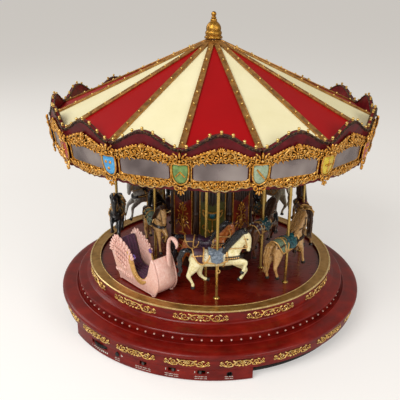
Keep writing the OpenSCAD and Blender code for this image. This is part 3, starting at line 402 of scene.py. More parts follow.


# These scrolls are also browned in their hollows by ambient occlusion: wax and painted shade.
pale_gilt = gilding("pale gilding on thin scrolls", ["C08A3C", "ECBE6A", "FFE9AE"], "5A2206")
drum_scrolls = copies(wrap(leaf_scroll(71, 12.2), drum_r + 0.2, drum_z + 8.4),
                      [Matrix.Rotation(radians(30 * k - 4.5), 4, "Z") for k in range(12)])
settle(drum_scrolls, "drum_scrolls", "base", "gilt", pale_gilt)
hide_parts("gilt_scrolls")
skirt_scrolls = copies(wrap(leaf_scroll(57, 11), skirt_r + 0.2, skirt_foot + 8.9),
                       [Matrix.Rotation(radians(18 * k - 8), 4, "Z") for k in range(20)])
settle(skirt_scrolls, "skirt_scrolls", "base", "gilt", pale_gilt)

# ---------------------------------------------------------------- Lights round the step
# A hundred tiny moulded acrylic domes in the wall under the lip. Unlit, they are a milky
# rose with a bright point where the sky reflects.
lens = finish("milky rose acrylic", ["D89C8C", "F0C9B8"], 3, (0.12, 0.2), Transmission_Weight=0.25, Coat_Weight=0.5)
bpy.ops.mesh.primitive_uv_sphere_add(segments=14, ring_count=8, radius=1.35 * MM)
dome = bpy.context.object
bpy.ops.object.mode_set(mode="EDIT")
bpy.ops.mesh.select_all(action="SELECT")
bpy.ops.mesh.bisect(plane_co=(0, 0.0002, 0), plane_no=(0, 1, 0), use_fill=True, clear_outer=True)
bpy.ops.object.mode_set(mode="OBJECT")
lights = copies(dome, [Matrix.Rotation(radians(3.6 * k), 4, "Z")
                       @ Matrix.Translation((0, -(lip_r - 2.3) * MM, (ledge_z + 2.8) * MM)) for k in range(100)])
settle(lights, "step_lights", "base", "lamp_lens", lens)
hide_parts("marquee_lights")

# ---------------------------------------------------------------- Feet, tray and drive
# The pan, feet, screws, controls and everything inside the base keep their built shapes:
# moulded plastic, rubber, bright steel, sintered bronze and white nylon gears.
black_plastic = finish("moulded black ABS", ["0B0A0A", "171514"], 1.5, (0.42, 0.6), bump=0.04)
rubber = finish("moulded black rubber", ["080808", "121212"], 2, (0.7, 0.85), bump=0.06)
steel = finish("rolled bright steel", ["8F9093", "B4B5B8"], 4, (0.25, 0.4), bump=0.02, stretch=(1, 6, 1), Metallic=1.0)
bronze = finish("sintered bronze", ["8A6230", "B08444"], 1.2, (0.35, 0.5), bump=0.04, Metallic=0.9)
nylon = finish("moulded white nylon", ["D8D5CC", "EAE8E0"], 5, (0.4, 0.5), bump=0.02, Subsurface_Weight=0.1)
solder_mask = finish("green solder mask on fibre board", ["0B3A1C", "14552B"], 3, (0.25, 0.35), bump=0.03)
charcoal_plastic = finish("moulded charcoal plastic", ["2E2B29", "4A4643"], 2, (0.3, 0.4), bump=0.02)


def repaint(name, material):
    """Gives a built piece one material in place of its own."""
    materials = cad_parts[name].data.materials
    materials.clear()
    materials.append(material)


for material, names in (
        (black_plastic, ("base_tray", "speaker", "power_socket", "volume_wheel", "play_button")),
        (rubber, ("rubber_feet",)), (steel, ("base_screws", "bearing_plate", "motor", "spindle")),
        (bronze, ("spindle_bush", "motor_pinion")), (nylon, ("wave_track", "idler_gear", "drive_gear")),
        (solder_mask, ("circuit_board",)), (charcoal_plastic, ("song_switch", "light_switch", "power_switch")),
        (cherry, ("control_panel",))):
    for name in names:
        repaint(name, material)

# ---------------------------------------------------------------- Marks on the control panel
# Plain printed marks over and under each control: dots for the volume, a triangle for
# play, bars for the tunes, and pairs of ticks for the switches. They are screen-printed.
ink = finish("screen-printed white ink", ["C9C3B8", "E6E1D6"], 1, (0.5, 0.6), bump=0.01)
panel_r = skirt_r + 0.02


def mark(angle, x, z, wide, high):
    """A small printed bar on the panel, its middle x mm along from an angle."""
    half_w, half_h = wide / 2, high / 2
    points, faces = [], []
    for px in (x - half_w, x, x + half_w):
        a = radians(angle) + px / panel_r
        for r in (panel_r, panel_r + 0.12):
            for pz in (z - half_h, z + half_h):
                points.append((r * sin(a), -r * cos(a), pz))
    for k in (0, 4):
        faces += [(k + 2, k + 6, k + 7, k + 3), (k + 4, k, k + 1, k + 5), (k + 3, k + 7, k + 5, k + 1),
                  (k, k + 4, k + 6, k + 2)]
    faces += [(0, 2, 3, 1), (8, 9, 11, 10)]
    return from_points(points, faces=faces)


prints = []
for k in range(9):
    prints.append(mark(-42, -15 + 3.75 * k, 5.4 + 0.35 * abs(k - 4), 0.9 + 0.14 * k, 0.9 + 0.14 * k))
for angle, words in ((-42, (5, 4, 3, 5)), (-33.2, (4, 3)), (-23, (6, 3, 5, 4)), (-12.9, (5, 4, 6)), (-3.3, (4, 6, 3)),
                     (5.8, (4, 5))):
    for row, lift in enumerate((7.2, 4.4) if angle != -42 else (7.6,)):
        start = -sum(words) / 2 - 0.5 * len(words)
        for n, long in enumerate(words[row:] + words[:row]):
            for letter in range(long):
                prints.append(mark(angle, start + letter * 1.05, lift, 0.62, 1.15 if (letter + n) % 3 else 0.7))
            start += long * 1.05 + 1.0
prints.append(mark(-33.2, 6.4, 13.5, 1.0, 3.0))
prints.append(mark(-33.2, 8.0, 13.5, 1.0, 1.6))
for angle, reach in ((-12.9, 8.0), (-3.3, 8.0)):
    prints.append(mark(angle, -reach, 13.5, 0.8, 2.6))
    prints.append(mark(angle, reach, 13.5, 2.2, 0.8))
settle(join(prints), "panel_marks", "base", "switch_plastic", ink, smooth=0)

# ---------------------------------------------------------------- Deck
# A round board of close-grained hardwood in the same cherry lacquer, polished flat, so
# that it mirrors the figures. Brass ferrules line the holes where the poles go through.
deck_lacquer = finish("polished cherry lacquer on a flat board", ["5A0E06", "691308", "7A1C0D"], 34, (0.24, 0.32),
                      bump=0.004, stretch=(1, 2.4, 1), fine=5, Specular_IOR_Level=0.28, Coat_Weight=0.22,
                      Coat_Roughness=0.12)
repaint("deck", deck_lacquer)
deck_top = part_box("deck")[1].z / MM
pole_brass = finish("drawn and lacquered brass tube", ["A07F3A", "C4A055", "D8B96E"], 7, (0.2, 0.34), bump=0.02,
                    stretch=(1, 1, 0.3), Metallic=0.9)


def station(angle, radius, height=0.0, turn=0.0):
    """A place at an angle from the front: x runs anticlockwise, -y outwards."""
    return (Matrix.Rotation(radians(angle), 4, "Z") @ Matrix.Translation((0, -radius * MM, height * MM))
            @ Matrix.Rotation(radians(turn), 4, "Z"))


outer_r, inner_r = 138, 88
outer_at = [2.7 + 45 * k for k in range(7)]
inner_at = [-4.8 + 60 * k for k in range(6)]
ferrule = turn_on_lathe([(2.2, 0.02), (4.4, 0.02), (4.4, 0.5), (3.6, 0.9), (3.1, 1.7), (2.2, 1.9)], 24, 0.15)
ferrules = copies(ferrule, [station(a, outer_r, deck_top) for a in outer_at]
                  + [station(a, inner_r, deck_top) for a in inner_at])
settle(ferrules, "pole_ferrules", "rotor", "pole_brass", pole_brass)
for k in range(1, 8):
    repaint(f"outer_pole_{k}", pole_brass)

# ---------------------------------------------------------------- Ceiling
# A sixteen-sided board that carries the canopy, painted deep maroon.
maroon = finish("maroon gloss paint on board", ["3C0408", "5A0A12", "6C121C"], 14, (0.34, 0.46), bump=0.03, fine=2,
                Specular_IOR_Level=0.2, Coat_Weight=0.08, Coat_Roughness=0.2)
for name in ("ceiling", "rounding_boards"):
    repaint(name, maroon)

# ---------------------------------------------------------------- Roof
# Sixteen thin panels, satin-painted by turns red and cream, and laid on the hub and the
# boards. The paint is one finish whose colour changes at every seam.
roof = finish("satin paint on roof panels", ["E6DDB0", "EEE6BE"], 60, (0.42, 0.5), bump=0.02, fine=6,
              Specular_IOR_Level=0.12)
side_a = 1.5
sector = 360 / 16


def by_turns(material, sides, scale, first, second):
    """Paints every other side, from the front one, in a noise between two other hex tones."""
    tree = material.node_tree
    place = tree.nodes["place"]
    split = add_node(tree, "ShaderNodeSeparateXYZ", Vector=place.inputs[0].links[0].from_socket)
    minus_y = add_node(tree, "ShaderNodeMath", {"operation": "MULTIPLY"}, i0=split.outputs["Y"], i1=-1.0)
    value = add_node(tree, "ShaderNodeMath", {"operation": "ARCTAN2"}, i0=split.outputs["X"], i1=minus_y.outputs[0])
    for operation, numbers in (("MULTIPLY_ADD", {"i1": sides / (2 * pi), "i2": 0.5 - side_a * sides / 360 + 32}),
                               ("MULTIPLY", {"i1": 0.5}), ("FRACT", {}), ("LESS_THAN", {"i1": 0.5})):
        value = add_node(tree, "ShaderNodeMath", {"operation": operation}, i0=value.outputs[0], **numbers)
    noise = add_node(tree, "ShaderNodeTexNoise", Vector=place.outputs[0], Scale=scale, Detail=3.0)
    other = add_node(tree, "ShaderNodeMix", {"data_type": "RGBA"}, i0=noise.outputs["Fac"], i6=linear(first),
                     i7=linear(second))
    mix = add_node(tree, "ShaderNodeMix", {"data_type": "RGBA"}, i0=value.outputs[0],
                   i6=tree.nodes["tone"].outputs[0], i7=other.outputs[2])
    tree.links.new(mix.outputs[2], tree.nodes["surface"].inputs["Base Color"])


by_turns(roof, 16, 14.0, "90040A", "A8070E")
repaint("roof_panels", roof)

# Ribs of pressed bronze strip with raised edges lie over the seams, each held by a row
# of domed studs.
rib_bronze = finish("rubbed bronze strip", ["7E5528", "A8773B", "BE8E4C"], 8, (0.3, 0.45), bump=0.06, fine=1.5,
                    Metallic=0.7)
stud_brass = finish("polished brass studs", ["C69A46", "ECCB7C"], 4, (0.18, 0.28), Metallic=0.6)
board_r, board_lean, board_thick = 209.5, 8.5, 4.0
half_side = radians(sector / 2)
ceiling_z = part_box("ceiling")[0].z / MM
board_foot = ceiling_z - 0.6


def board_face(y):
    return board_r + y * tan(radians(board_lean))


eave_h, roof_rise = 45, 91.6
eave_a = board_face(eave_h) - board_thick - 0.9
eave_z = board_foot + eave_h
apex_z = eave_z + roof_rise
eave_corner = eave_a / cos(half_side) - 2
apex_corner = 9 / cos(half_side)
drop = (eave_a / cos(half_side) - eave_corner) * roof_rise / (eave_a / cos(half_side) - apex_corner)
rib_slope = atan((roof_rise - drop) / (eave_corner - apex_corner))
rib_len = (eave_corner - apex_corner) / cos(rib_slope)
rib_foot_w, rib_top_w = 3.7, 1.7 * (apex_corner * sin(half_side) + 0.3)
bpy.ops.mesh.primitive_cube_add(size=1)
rib = bpy.context.object
rib.data.transform(Matrix.Translation((0, 0.5, 0.5)))
rib.data.transform(Matrix.Diagonal((1, rib_len * MM, 2.2 * MM, 1)))
for vertex in rib.data.vertices:
    vertex.co.x *= 2 * MM * (rib_foot_w if vertex.co.y < 0.001 else rib_top_w)
alone(rib)
bpy.ops.object.mode_set(mode="EDIT")
bpy.ops.mesh.select_all(action="DESELECT")
bpy.ops.mesh.select_mode(type="FACE")
bpy.ops.object.mode_set(mode="OBJECT")
for face in rib.data.polygons:
    face.select = face.normal.z > 0.9
bpy.ops.object.mode_set(mode="EDIT")
bpy.ops.mesh.inset(thickness=0.8 * MM, depth=0)
bpy.ops.mesh.inset(thickness=0.35 * MM, depth=-0.6 * MM)
bpy.ops.object.mode_set(mode="OBJECT")
use(rib, ("BEVEL", {"width": 0.25 * MM, "segments": 2, "limit_method": "ANGLE"}))
rib_places = [station(side_a + sector * (k + 0.5), eave_corner, eave_z + drop + 0.02)
              @ Matrix.Rotation(rib_slope, 4, "X") for k in range(16)]
stud_along = [rib_len * (0.035 + 0.107 * k) for k in range(9)]
settle(copies(rib, rib_places), "roof_ribs_dressed", "rotor", "rib_bronze", rib_bronze, smooth=30)
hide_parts("roof_ribs")
studs = copies(join([dab(0, 0, 1.35, 1.35, 1.5, 0, 2.3, 12, 8)]),
               [Matrix.Translation((0, y * MM, 0)) for y in stud_along])
settle(copies(studs, rib_places), "rib_studs", "rotor", "bronze", stud_brass)

# ---------------------------------------------------------------- Rounding boards
# Sixteen leaning boards with an arched crest. A dark carved rope of leaves follows each
# crest, and seven turned brass knobs stand on it.
# The gilding finish darkens the rope's hollows further by ambient occlusion: painted shade.
dark_carving = gilding("dark bronzed carving", ["1C0C06", "2E1A0C", "6E4E22"], "0C0402")
dark_carving.node_tree.nodes["surface"].inputs["Metallic"].default_value = 0.35
board_places = [station(side_a + sector * k, board_r, board_foot) @ Matrix.Rotation(radians(90 + board_lean), 4, "X")
                for k in range(16)]
corner_lean = atan(tan(radians(board_lean)) / cos(half_side))
corner_places = [station(side_a + sector * (k + 0.5), board_r / cos(half_side), board_foot)
                 @ Matrix.Rotation(radians(90) + corner_lean, 4, "X") for k in range(16)]


def board_half(y):
    return (board_face(y) - board_thick) * tan(half_side) - 0.4


crest_w = board_half(48)


def crest_y(x):
    return 48 + 16.8 * (0.5 + 0.5 * cos(pi * x / crest_w))


rope = [rods([[(x, crest_y(x) - under, z, r) for x in [crest_w * (k / 15 - 1) * reach for k in range(31)]]
              for under, z, r, reach in ((0.6, 0.1, 0.8, 0.995), (2.9, 0.1, 0.4, 0.99),
                                         (0.9, -board_thick - 0.1, 1.0, 0.995))], 2)]
for k in range(-11, 12):
    x = crest_w * 0.088 * k
    slope = degrees(atan2(crest_y(x + 0.1) - crest_y(x - 0.1), 0.2))
    lean_to = 24 if k % 2 else -24
    rope.append(dab(x, crest_y(x) - 1.1, 2.0, 0.7, 1.0, slope + lean_to, 0.3, 8, 6))
    rope.append(dab(x + 1.6, crest_y(x + 1.6) - 0.3, 1.1, 0.8, 1.0, slope, 0.1, 8, 6))
crest_rope = copies(join(rope), board_places)
settle(crest_rope, "crest_rope", "rotor", "maroon_paint", dark_carving)
knob = turn_on_lathe([(0.01, -0.8), (1.5, -0.8), (1.6, 0.2), (1.0, 0.7), (1.0, 1.0), (1.6, 1.6), (1.75, 2.4),
                      (1.3, 3.2), (0.5, 3.6), (0.01, 3.7)], 12, 0)
knobs = copies(knob, [Matrix.Translation((x * MM, (crest_y(x) + 0.2) * MM, -board_thick / 2 * MM))
                      @ Matrix.Rotation(-pi / 2, 4, "X") for x in [crest_w * 0.29 * k for k in range(-3, 4)]])
settle(copies(knobs, board_places), "crest_knobs", "rotor", "bronze", stud_brass)
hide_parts("crest_lights")

# ---------------------------------------------------------------- Mirrors
# Silvered panes set in the boards. The silvering is old and clouded, with a warm grey
# cast.
silvering = finish("clouded silvering", ["665B5A", "8E8280", "A79C98"], 44, (0.2, 0.34), bump=0.015, fine=12,
                   detail=2.0, Metallic=0.7)
repaint("board_mirrors", silvering)

# ---------------------------------------------------------------- Gilt garlands
# Rococo castings on every board: a garland of curls over the mirror that climbs to a
# shell, and a fuller one under it with a scalloped edge. They are gilded and pinned on.
gar_w = board_half(0) - 1
mirror_w, mirror_low, mirror_high = 58, 12, 32


def grid(columns, rows):
    """The faces of a net of points that are counted up its columns."""
    starts = [i * (rows + 1) + j for i in range(columns) for j in range(rows)]
    return [(a, a + rows + 1, a + rows + 2, a + 1) for a in starts]


carving = bpy.data.textures.new("leaf carving", "VORONOI")
carving.noise_scale = 2.4 * MM


def relief(low, high, reach, columns, rows, thick, height):
    """A pillowed plate between two curves, its face broken up like leafy carving."""
    points = []
    for i in range(columns + 1):
        x = reach * (2 * i / columns - 1)
        bottom, top = low(x), high(x)
        for j in range(rows + 1):
            t = j / rows
            edge = min(1.0, 5 * t, 5 * (1 - t), 8 * i / columns, 8 * (1 - i / columns))
            points.append((x, bottom + (top - bottom) * t, thick * (0.25 + 0.75 * sin(edge * pi / 2))))
    back = len(points)
    for i in range(columns + 1):
        x = reach * (2 * i / columns - 1)
        points += [(x, low(x), 0), (x, high(x), 0)]
    row, faces = rows + 1, grid(columns, rows)
    for i in range(columns):
        faces.append((back + 2 * i, back + 2 * i + 2, (i + 1) * row, i * row))
        faces.append((i * row + rows, (i + 1) * row + rows, back + 2 * i + 3, back + 2 * i + 1))
        faces.append((back + 2 * i + 1, back + 2 * i + 3, back + 2 * i + 2, back + 2 * i))
    faces.append([j for j in range(rows, -1, -1)] + [back, back + 1])
    faces.append([columns * row + j for j in range(row)] + [back + 2 * columns + 1, back + 2 * columns])
    plate = from_points(points, faces=faces)
    face_only = plate.vertex_groups.new(name="face")
    face_only.add([i * row + j for i in range(1, columns) for j in range(1, rows)], 1.0, "ADD")
    return use(plate, ("DISPLACE", {"texture": carving, "texture_coords": "LOCAL", "direction": "Z", "mid_level": 0.4,
                                    "strength": height * MM, "vertex_group": "face"}))


def garland_y(x):
    return 36.6 + 10.8 * max(0.0, cos(pi / 2 * x / gar_w)) ** 1.8


def foot_y(x):
    flare = sin(pi / 2 * x / gar_w) ** 2
    scallop = 0.9 * cos(radians(1260 * x / gar_w))
    return -1.6 * (1 + cos(pi * x / gar_w)) + scallop + 2.5 + 2.8 * flare


def strewn(spots, z):
    """Small leaves thrown at spots on one height, in a fixed order of turns."""
    return [dab(x, y, 2.3 + 0.5 * (k % 3), 0.85, 1.15, 37 * k % 180, z, 8, 5) for k, (x, y) in enumerate(spots)]


def top_low(x):
    arch_y = 4.6 * max(0.0, cos(pi / 2 * x / (mirror_w / 2))) ** 0.7
    return mirror_high - 3.4 + arch_y + 0.8 * cos(radians(1980 * x / gar_w))


def top_high(x):
    return garland_y(x) + 0.9 * cos(radians(1440 * x / gar_w))


def low_high(x):
    return mirror_low + 1.8 * (x / 29) ** 2 - 0.2 - 0.7 * cos(x * 0.9) - (4.4 if abs(x) > 32 else 0)


upper = [relief(top_low, top_high, gar_w, 92, 12, 1.2, -1.5)]
for side in (1, -1):
    upper.append(rods(curls(side, [
        (10.6, garland_y(10) - 5.2, 4.6, 1.2, 90, -430, 1.35, 2.2),
        (18.6, garland_y(18) - 4.6, 3.8, 1.0, -90, 410, 1.3, 2.2),
        (26.0, garland_y(26) - 3.6, 3.1, 0.9, 90, -400, 1.2, 2.1),
        (33.0, garland_y(33) - 3.0, 2.5, 0.8, -90, 400, 1.1, 2.0),
        (6.6, mirror_high + 3.8, 2.7, 0.8, -90, -380, 1.1, 2.0),
        (14.4, mirror_high + 3.4, 2.4, 0.8, -90, 380, 1.0, 1.9),
        (21.8, mirror_high + 3.2, 2.2, 0.8, -90, -380, 1.0, 1.9)])
        + [[(x * side, garland_y(x) + 0.9, 1.9, 0.9 + 0.35 * (n % 2))
            for n, x in enumerate([*range(6, 37, 3), gar_w])]], 1))
    along = [5.5 + 1.45 * k for k in range(24)]
    upper += strewn([(x * side, top_low(x) + (1.0 + 2.4 * (k * 5 % 4)) * (1 if k < 14 else 0.6))
                     for k, x in enumerate(along)], 2.2)
    upper += [dab(x * side, garland_y(x) + 1.7, 1.7, 1.0, 1.0, (48 if k % 2 else -38) * side, 2.0, 8, 5)
              for k, x in enumerate([7.5 + 3.5 * n for n in range(9)])]
cartouche = garland_y(0) - 7.4
upper += [dab(*around(0, cartouche, 4.1, turn), 2.9, 1.0, 1.6, turn, 2.6) for turn in range(0, 360, 36)]
for turn in (26, 52, 77, 103, 128, 154):
    shell = radians(turn)
    upper.append(dab(2.6 * cos(shell), cartouche + 6.0 + 2.9 * sin(shell), 2.9, 0.95, 1.4, turn, 2.4))
upper.append(dab(0, cartouche, 1.8, 1.8, 2.0, 0, 3.0))
upper_garlands = copies(join(upper), board_places)
settle(upper_garlands, "upper_garlands", "rotor", "gilt", gilt)
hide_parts("gilt_frames")

lower = [relief(lambda x: foot_y(x) + 0.7, low_high, gar_w, 92, 9, 1.3, -1.6)]
for side in (1, -1):
    lower.append(rods(curls(side, [
        (4.8, 5.8, 3.7, 1.0, 90, -430, 1.3, 2.2), (12.6, 5.0, 3.7, 1.0, -90, 410, 1.3, 2.2),
        (20.0, 6.8, 3.3, 1.0, 90, -410, 1.25, 2.2), (27.2, 7.2, 2.9, 0.9, -90, 400, 1.15, 2.1),
        (33.6, 7.4, 2.2, 0.7, 90, -380, 1.0, 2.0)])
        + [[((mirror_w / 2 + 2.2) * side, y, 1.2, 0.9) for y in range(8, 33, 2)]], 1))
    along = [1.5 + 1.33 * k for k in range(27)]
    lower += strewn([(x * side, foot_y(x) + 2.0 + (mirror_low - 4.2 - foot_y(x)) * (k * 3 % 5) / 5)
                     for k, x in enumerate(along)], 2.1)
lower += [dab(*around(0, 5.4, 3.2, turn), 2.3, 0.9, 1.5, turn, 2.6, 8, 6) for turn in range(0, 360, 45)]
lower.append(dab(0, 5.4, 1.6, 1.6, 1.8, 0, 2.9))
lower_garlands = copies(join(lower), board_places)
settle(lower_garlands, "lower_garlands", "rotor", "gilt", gilt)
# A rod of paler gilt along the scalloped hem: partly burnished gilding, partly a painted highlight.
hem_gilt_highlight = finish("burnished gilt edge, paler as painted highlight", ["D9B060", "F3DCA0"], 5, (0.2, 0.3), Metallic=0.7)
hem = rods([[(gar_w * (k / 28 - 1), foot_y(gar_w * (k / 28 - 1)) + 0.2, 1.2, 0.85) for k in range(57)]], 2)
settle(copies(hem, board_places), "garland_hems", "rotor", "gilt", hem_gilt_highlight)

# ---------------------------------------------------------------- Corner shields
# A domed, enamel-painted shield covers each joint of the boards: a gilt rim, a coloured
# field and a plain raised charge: a bend, a cross, three balls or a chevron.
fields = {"green": ["4A6E34", "7A9A50"], "pale": ["7E9478", "A6B498"], "gold": ["C0A010", "E6CE3E"],
          "red": ["8C140C", "C03420"], "blue": ["1F7FC0", "58B4E6"]}
enamels = {key: finish(f"{key} enamel", tones, 5, (0.2, 0.35), bump=0.05, fine=1.5, Coat_Weight=0.5)
           for key, tones in fields.items()}
order = "pale gold red blue green gold pale red blue green pale gold blue red blue green".split()
shield_low, shield_mid = 9, 21.5
outline = [(0, -0.6), (3.0, 0.2), (5.8, 2.2), (7.8, 6.4), (8.8, 12), (9.0, 18), (8.6, 22.8), (4.4, 23.7), (0, 22.8)]
outline += [(-x, y) for x, y in reversed(outline[1:-1])]
ring_n = len(outline)
charges = [[[(-5, 27, 4.0, 0.9), (0, 21, 4.8, 1.1), (5, 15, 3.9, 0.8)]],
           [[(0, 13, 3.9, 0.8), (0, 21, 4.7, 1.0), (0, 29, 4.0, 0.8)],
            [(-5, 22, 4.0, 0.8), (0, 22, 4.7, 1.0), (5, 22, 4.0, 0.8)]],
           [], [[(-5, 18, 3.9, 0.8), (0, 24, 4.7, 1.0), (5, 18, 3.9, 0.8)]]]
shield_rims, shield_charges = [], []
for k, place in enumerate(corner_places):
    points = [(x, shield_low + y, 0.3) for x, y in outline] + [(x, shield_low + y, 2.4) for x, y in outline]
    for shrink, z in ((0.8, 3.4), (0.45, 4.0)):
        points += [(x * shrink, shield_mid + (y - 12.5) * shrink, z) for x, y in outline]
    points.append((0, shield_mid, 4.2))
    faces = [list(range(ring_n - 1, -1, -1))]
    for layer in range(3):
        for i in range(ring_n):
            j = (i + 1) % ring_n
            faces.append((layer * ring_n + i, layer * ring_n + j, (layer + 1) * ring_n + j, (layer + 1) * ring_n + i))
    faces += [(3 * ring_n + i, 3 * ring_n + (i + 1) % ring_n, 4 * ring_n) for i in range(ring_n)]
    field = from_points(points, faces=faces)
    use(field, ("SUBSURF", {"levels": 1, "render_levels": 1}))
    field.data.transform(place)
    settle(field, f"corner_shield_{k + 1}", "rotor", "shield_paint", enamels[order[k]], smooth=60)
    rim = rods([[(x * 1.03, shield_mid + (y - 12.5) * 1.03, 2.6, 1.0) for x, y in outline + outline[:1]]], 1)
    rim.data.transform(place)
    shield_rims.append(rim)
    charge = charges[k % 4]
    balls = ((-3, 25), (3, 25), (0, 17.5))
    made = rods(charge, 1) if charge else join([dab(x, y, 1.8, 1.8, 1.2, 0, 4.0) for x, y in balls])
    made.data.transform(place)
    shield_charges.append(made)
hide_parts("corner_shields")
settle(join(shield_rims + shield_charges), "shield_rims", "rotor", "gilt", gilt)

caps = []
for side in (1, -1):
    caps.append(rods(curls(side, [
        (4.2, 36.4, 3.4, 0.9, -90, 420, 1.15, 3.6), (7.6, 40.4, 2.2, 0.7, -120, 330, 0.9, 3.2),
        (3.8, 4.2, 3.2, 0.9, 90, -420, 1.1, 3.5), (6.8, 7.6, 1.9, 0.6, 60, -330, 0.85, 3.2)])
        + [[(8.6 * side, 32.6, 3.2, 0.9), (4.5 * side, 33.3, 3.8, 1.1), (0, 32.6, 4.0, 1.1)]], 1))
    caps += [dab(3.2 * side, 41.2, 3.0, 1.1, 1.3, 60 * side, 3.6, 8, 6),
             dab(6.2 * side, 44.0, 2.2, 0.9, 1.1, 40 * side, 3.0, 8, 6),
             dab(2.4 * side, -0.8, 2.8, 1.0, 1.3, -65 * side, 3.4, 8, 6)]
caps += [dab(0, 42.8, 1.3, 4.2, 1.7, 0, 3.8, 8, 6), dab(0, 36.4, 1.6, 1.9, 1.6, 0, 4.4),
         dab(0, -1.6, 1.3, 3.4, 1.6, 0, 3.7, 8, 6), dab(0, 4.4, 1.5, 1.8, 1.5, 0, 4.2)]
shield_caps = copies(join(caps), corner_places)
settle(shield_caps, "shield_caps", "rotor", "gilt", gilt)
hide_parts("shield_scrolls")

# ---------------------------------------------------------------- Finial
# A turned brass finial of collar, bell, rings and ball, screwed on the spindle's end.
# It is lacquered over a darkened ground, and its grooves are browned by ambient occlusion: partly that ground, partly
# painted shade.
finial_brass = gilding("darkened and lacquered brass", ["8E5F1E", "B58434", "CF9F50"], "3A2008")
finial_brass.node_tree.nodes["surface"].inputs["Metallic"].default_value = 0.95
finial_foot = apex_z + 3
finial_line = [(0.01, 0), (11.8, 0), (12.2, 0.9), (12.2, 2.1), (11.3, 3.3), (10.2, 3.9), (10.6, 4.8), (11.1, 6),
               (11.1, 8), (10.3, 9.6), (9.6, 10.3), (10.0, 11.4), (10.1, 13), (9.7, 15.2), (8.6, 17.6), (6.9, 19.8),
               (5.2, 21.4), (4.2, 22.2), (4.4, 23), (4.5, 23.9), (4.0, 24.9), (2.9, 25.6), (3.5, 26.3), (3.5, 27.2),
               (2.3, 28.2)]
finial_line += [around(0, 31.2, 3.45, a) for a in range(-50, 90, 14)] + [(0.01, 34.65)]
finial = turn_on_lathe([(r, finial_foot + z) for r, z in finial_line], 48, 0.25)
settle(finial, "finial_turned", "rotor", "bronze", finial_brass)
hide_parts("finial")

# ---------------------------------------------------------------- Centre column
# An eight-sided core of dark stained wood with turned pilasters at its corners, and a
# painted panel on each face: olive green and dark red by turns, in a thin gilt frame.
column_wood = finish("dark stained wood rubbed with bronze", ["150806", "2C1409", "4E2C12"], 5, (0.3, 0.5), bump=0.12,
                     stretch=(2, 2, 0.4), fine=2, Coat_Weight=0.3)
panel_paint = finish("aged red and green panel paint", ["4A0D08", "6E150C", "8E3210"], 16, (0.28, 0.4), bump=0.05,
                     fine=2, Coat_Weight=0.4)
by_turns(panel_paint, 8, 60.0, "23280C", "5C5A1E")
repaint("column", column_wood)
repaint("column_panels", panel_paint)

column_side = 45
column_corner, half_turn = 60, radians(column_side / 2)
column_face = column_corner * cos(half_turn) + 2.03
panel_half = column_corner * sin(half_turn) - 5.5
panel_foot, panel_top = 44, 144.5
column_faces = [station(side_a + column_side * k, column_face, deck_top) @ Matrix.Rotation(pi / 2, 4, "X")
                for k in range(8)]
faces_green, faces_red = column_faces[::2], column_faces[1::2]
arch = [(*around(0, panel_top, panel_half, a), 0.2, 0.8) for a in range(0, 181, 15)]
edge = [(-panel_half, panel_foot, 0.2, 0.8), (panel_half, panel_foot, 0.2, 0.8)]
low_half = panel_half * 0.8
low_edge = [(x * low_half, y, 0.2, 0.6) for x, y in ((1, 16), (1, 37.6), (-1, 37.6), (-1, 16), (1, 16))]
panel_rods = rods([edge + arch + edge[:1], low_edge], 1)
post = turn_on_lathe([(0.01, 10), (4.6, 10), (4.8, 12), (3.4, 13.5), (3.9, 15), (3.9, 40), (4.6, 41.5), (3.2, 44),
                      (2.6, 50), (3.9, 60), (4.4, 66), (3.4, 74), (2.7, 80), (4.5, 83), (4.5, 86), (2.8, 89),
                      (3.3, 110), (3.3, 130), (4.4, 133), (3.0, 137), (3.9, 150), (5.0, 156), (5.2, 163),
                      (0.01, 163)], 16, 0)
posts = copies(post, [station(side_a + column_side * (k + 0.5), column_corner - 0.5, deck_top) for k in range(8)])
settle(posts, "column_posts", "rotor", "column_wood", column_wood, smooth=50)
settle(copies(panel_rods, faces_green + faces_red), "panel_frames", "rotor", "gilt", gilt)


# Raised ornament on the panels: on the green faces a swag with a teal boss under a row
# of pipes, and on the red ones an urn of leaves. All of it is cast, gilded and touched in.
def both(x, y, start_r, end_r, start, stop, thick, z):
    """A curl on the left and its mirror image on the right."""
    return [curl(-x, y, start_r, end_r, start, stop, thick, z),
            curl(x, y, start_r, end_r, 180 - start, 180 - stop, thick, z)]


teal = finish("teal enamel", ["0A3A44", "17606A"], 3, (0.15, 0.28), bump=0.04, Coat_Weight=0.6)
pipes = []
for k in range(-3, 4):
    x = 4.5 * k
    top_z = panel_top + sqrt(max(0, panel_half ** 2 - x * x)) - 2
    pipes.append([(x, 98 + 2.2 * abs(k), 0.9, 1.5), (x, 102 + 2.2 * abs(k), 0.9, 1.9), (x, top_z - 2, 0.9, 1.9),
                  (x, top_z, 0.9, 1.2)])
settle(copies(rods(pipes, 2), faces_green + faces_red), "column_pipes", "rotor", "column_wood", column_wood, smooth=50)
swag_bow = [radians(a) for a in range(180, 361, 15)]
swag = rods([[(13.5 * cos(a), 90 + 13 * sin(a), 1.0, 1.0) for a in swag_bow],
             [(-14, 92, 0.8, 1.1), (-8, 88.5, 1.2, 1.3), (0, 87, 1.4, 1.4), (8, 88.5, 1.2, 1.3), (14, 92, 0.8, 1.1)],
             *both(11, 66, 4, 1.2, 0, 380, 1.0, 0.8), *both(8, 27, 3.6, 1, 0, 380, 0.9, 0.6),
             [(0, 76, 0.8, 0.9), (0, 56, 0.8, 0.9)], [(-6, 50, 0.8, 0.8), (0, 56, 1, 1), (6, 50, 0.8, 0.8)]], 1)
swag = join([swag, dab(0, 58, 4.4, 2.2, 1.5, 90, 0.9), dab(0, 27, 3.8, 3.8, 1.3, 0, 0.5)]
            + [dab(s * 5, 60, 3.4, 1.2, 1.2, 60 * s, 0.9, 8, 6) for s in (1, -1)])
settle(copies(swag, faces_green), "panel_swags", "rotor", "gilt", gilt)
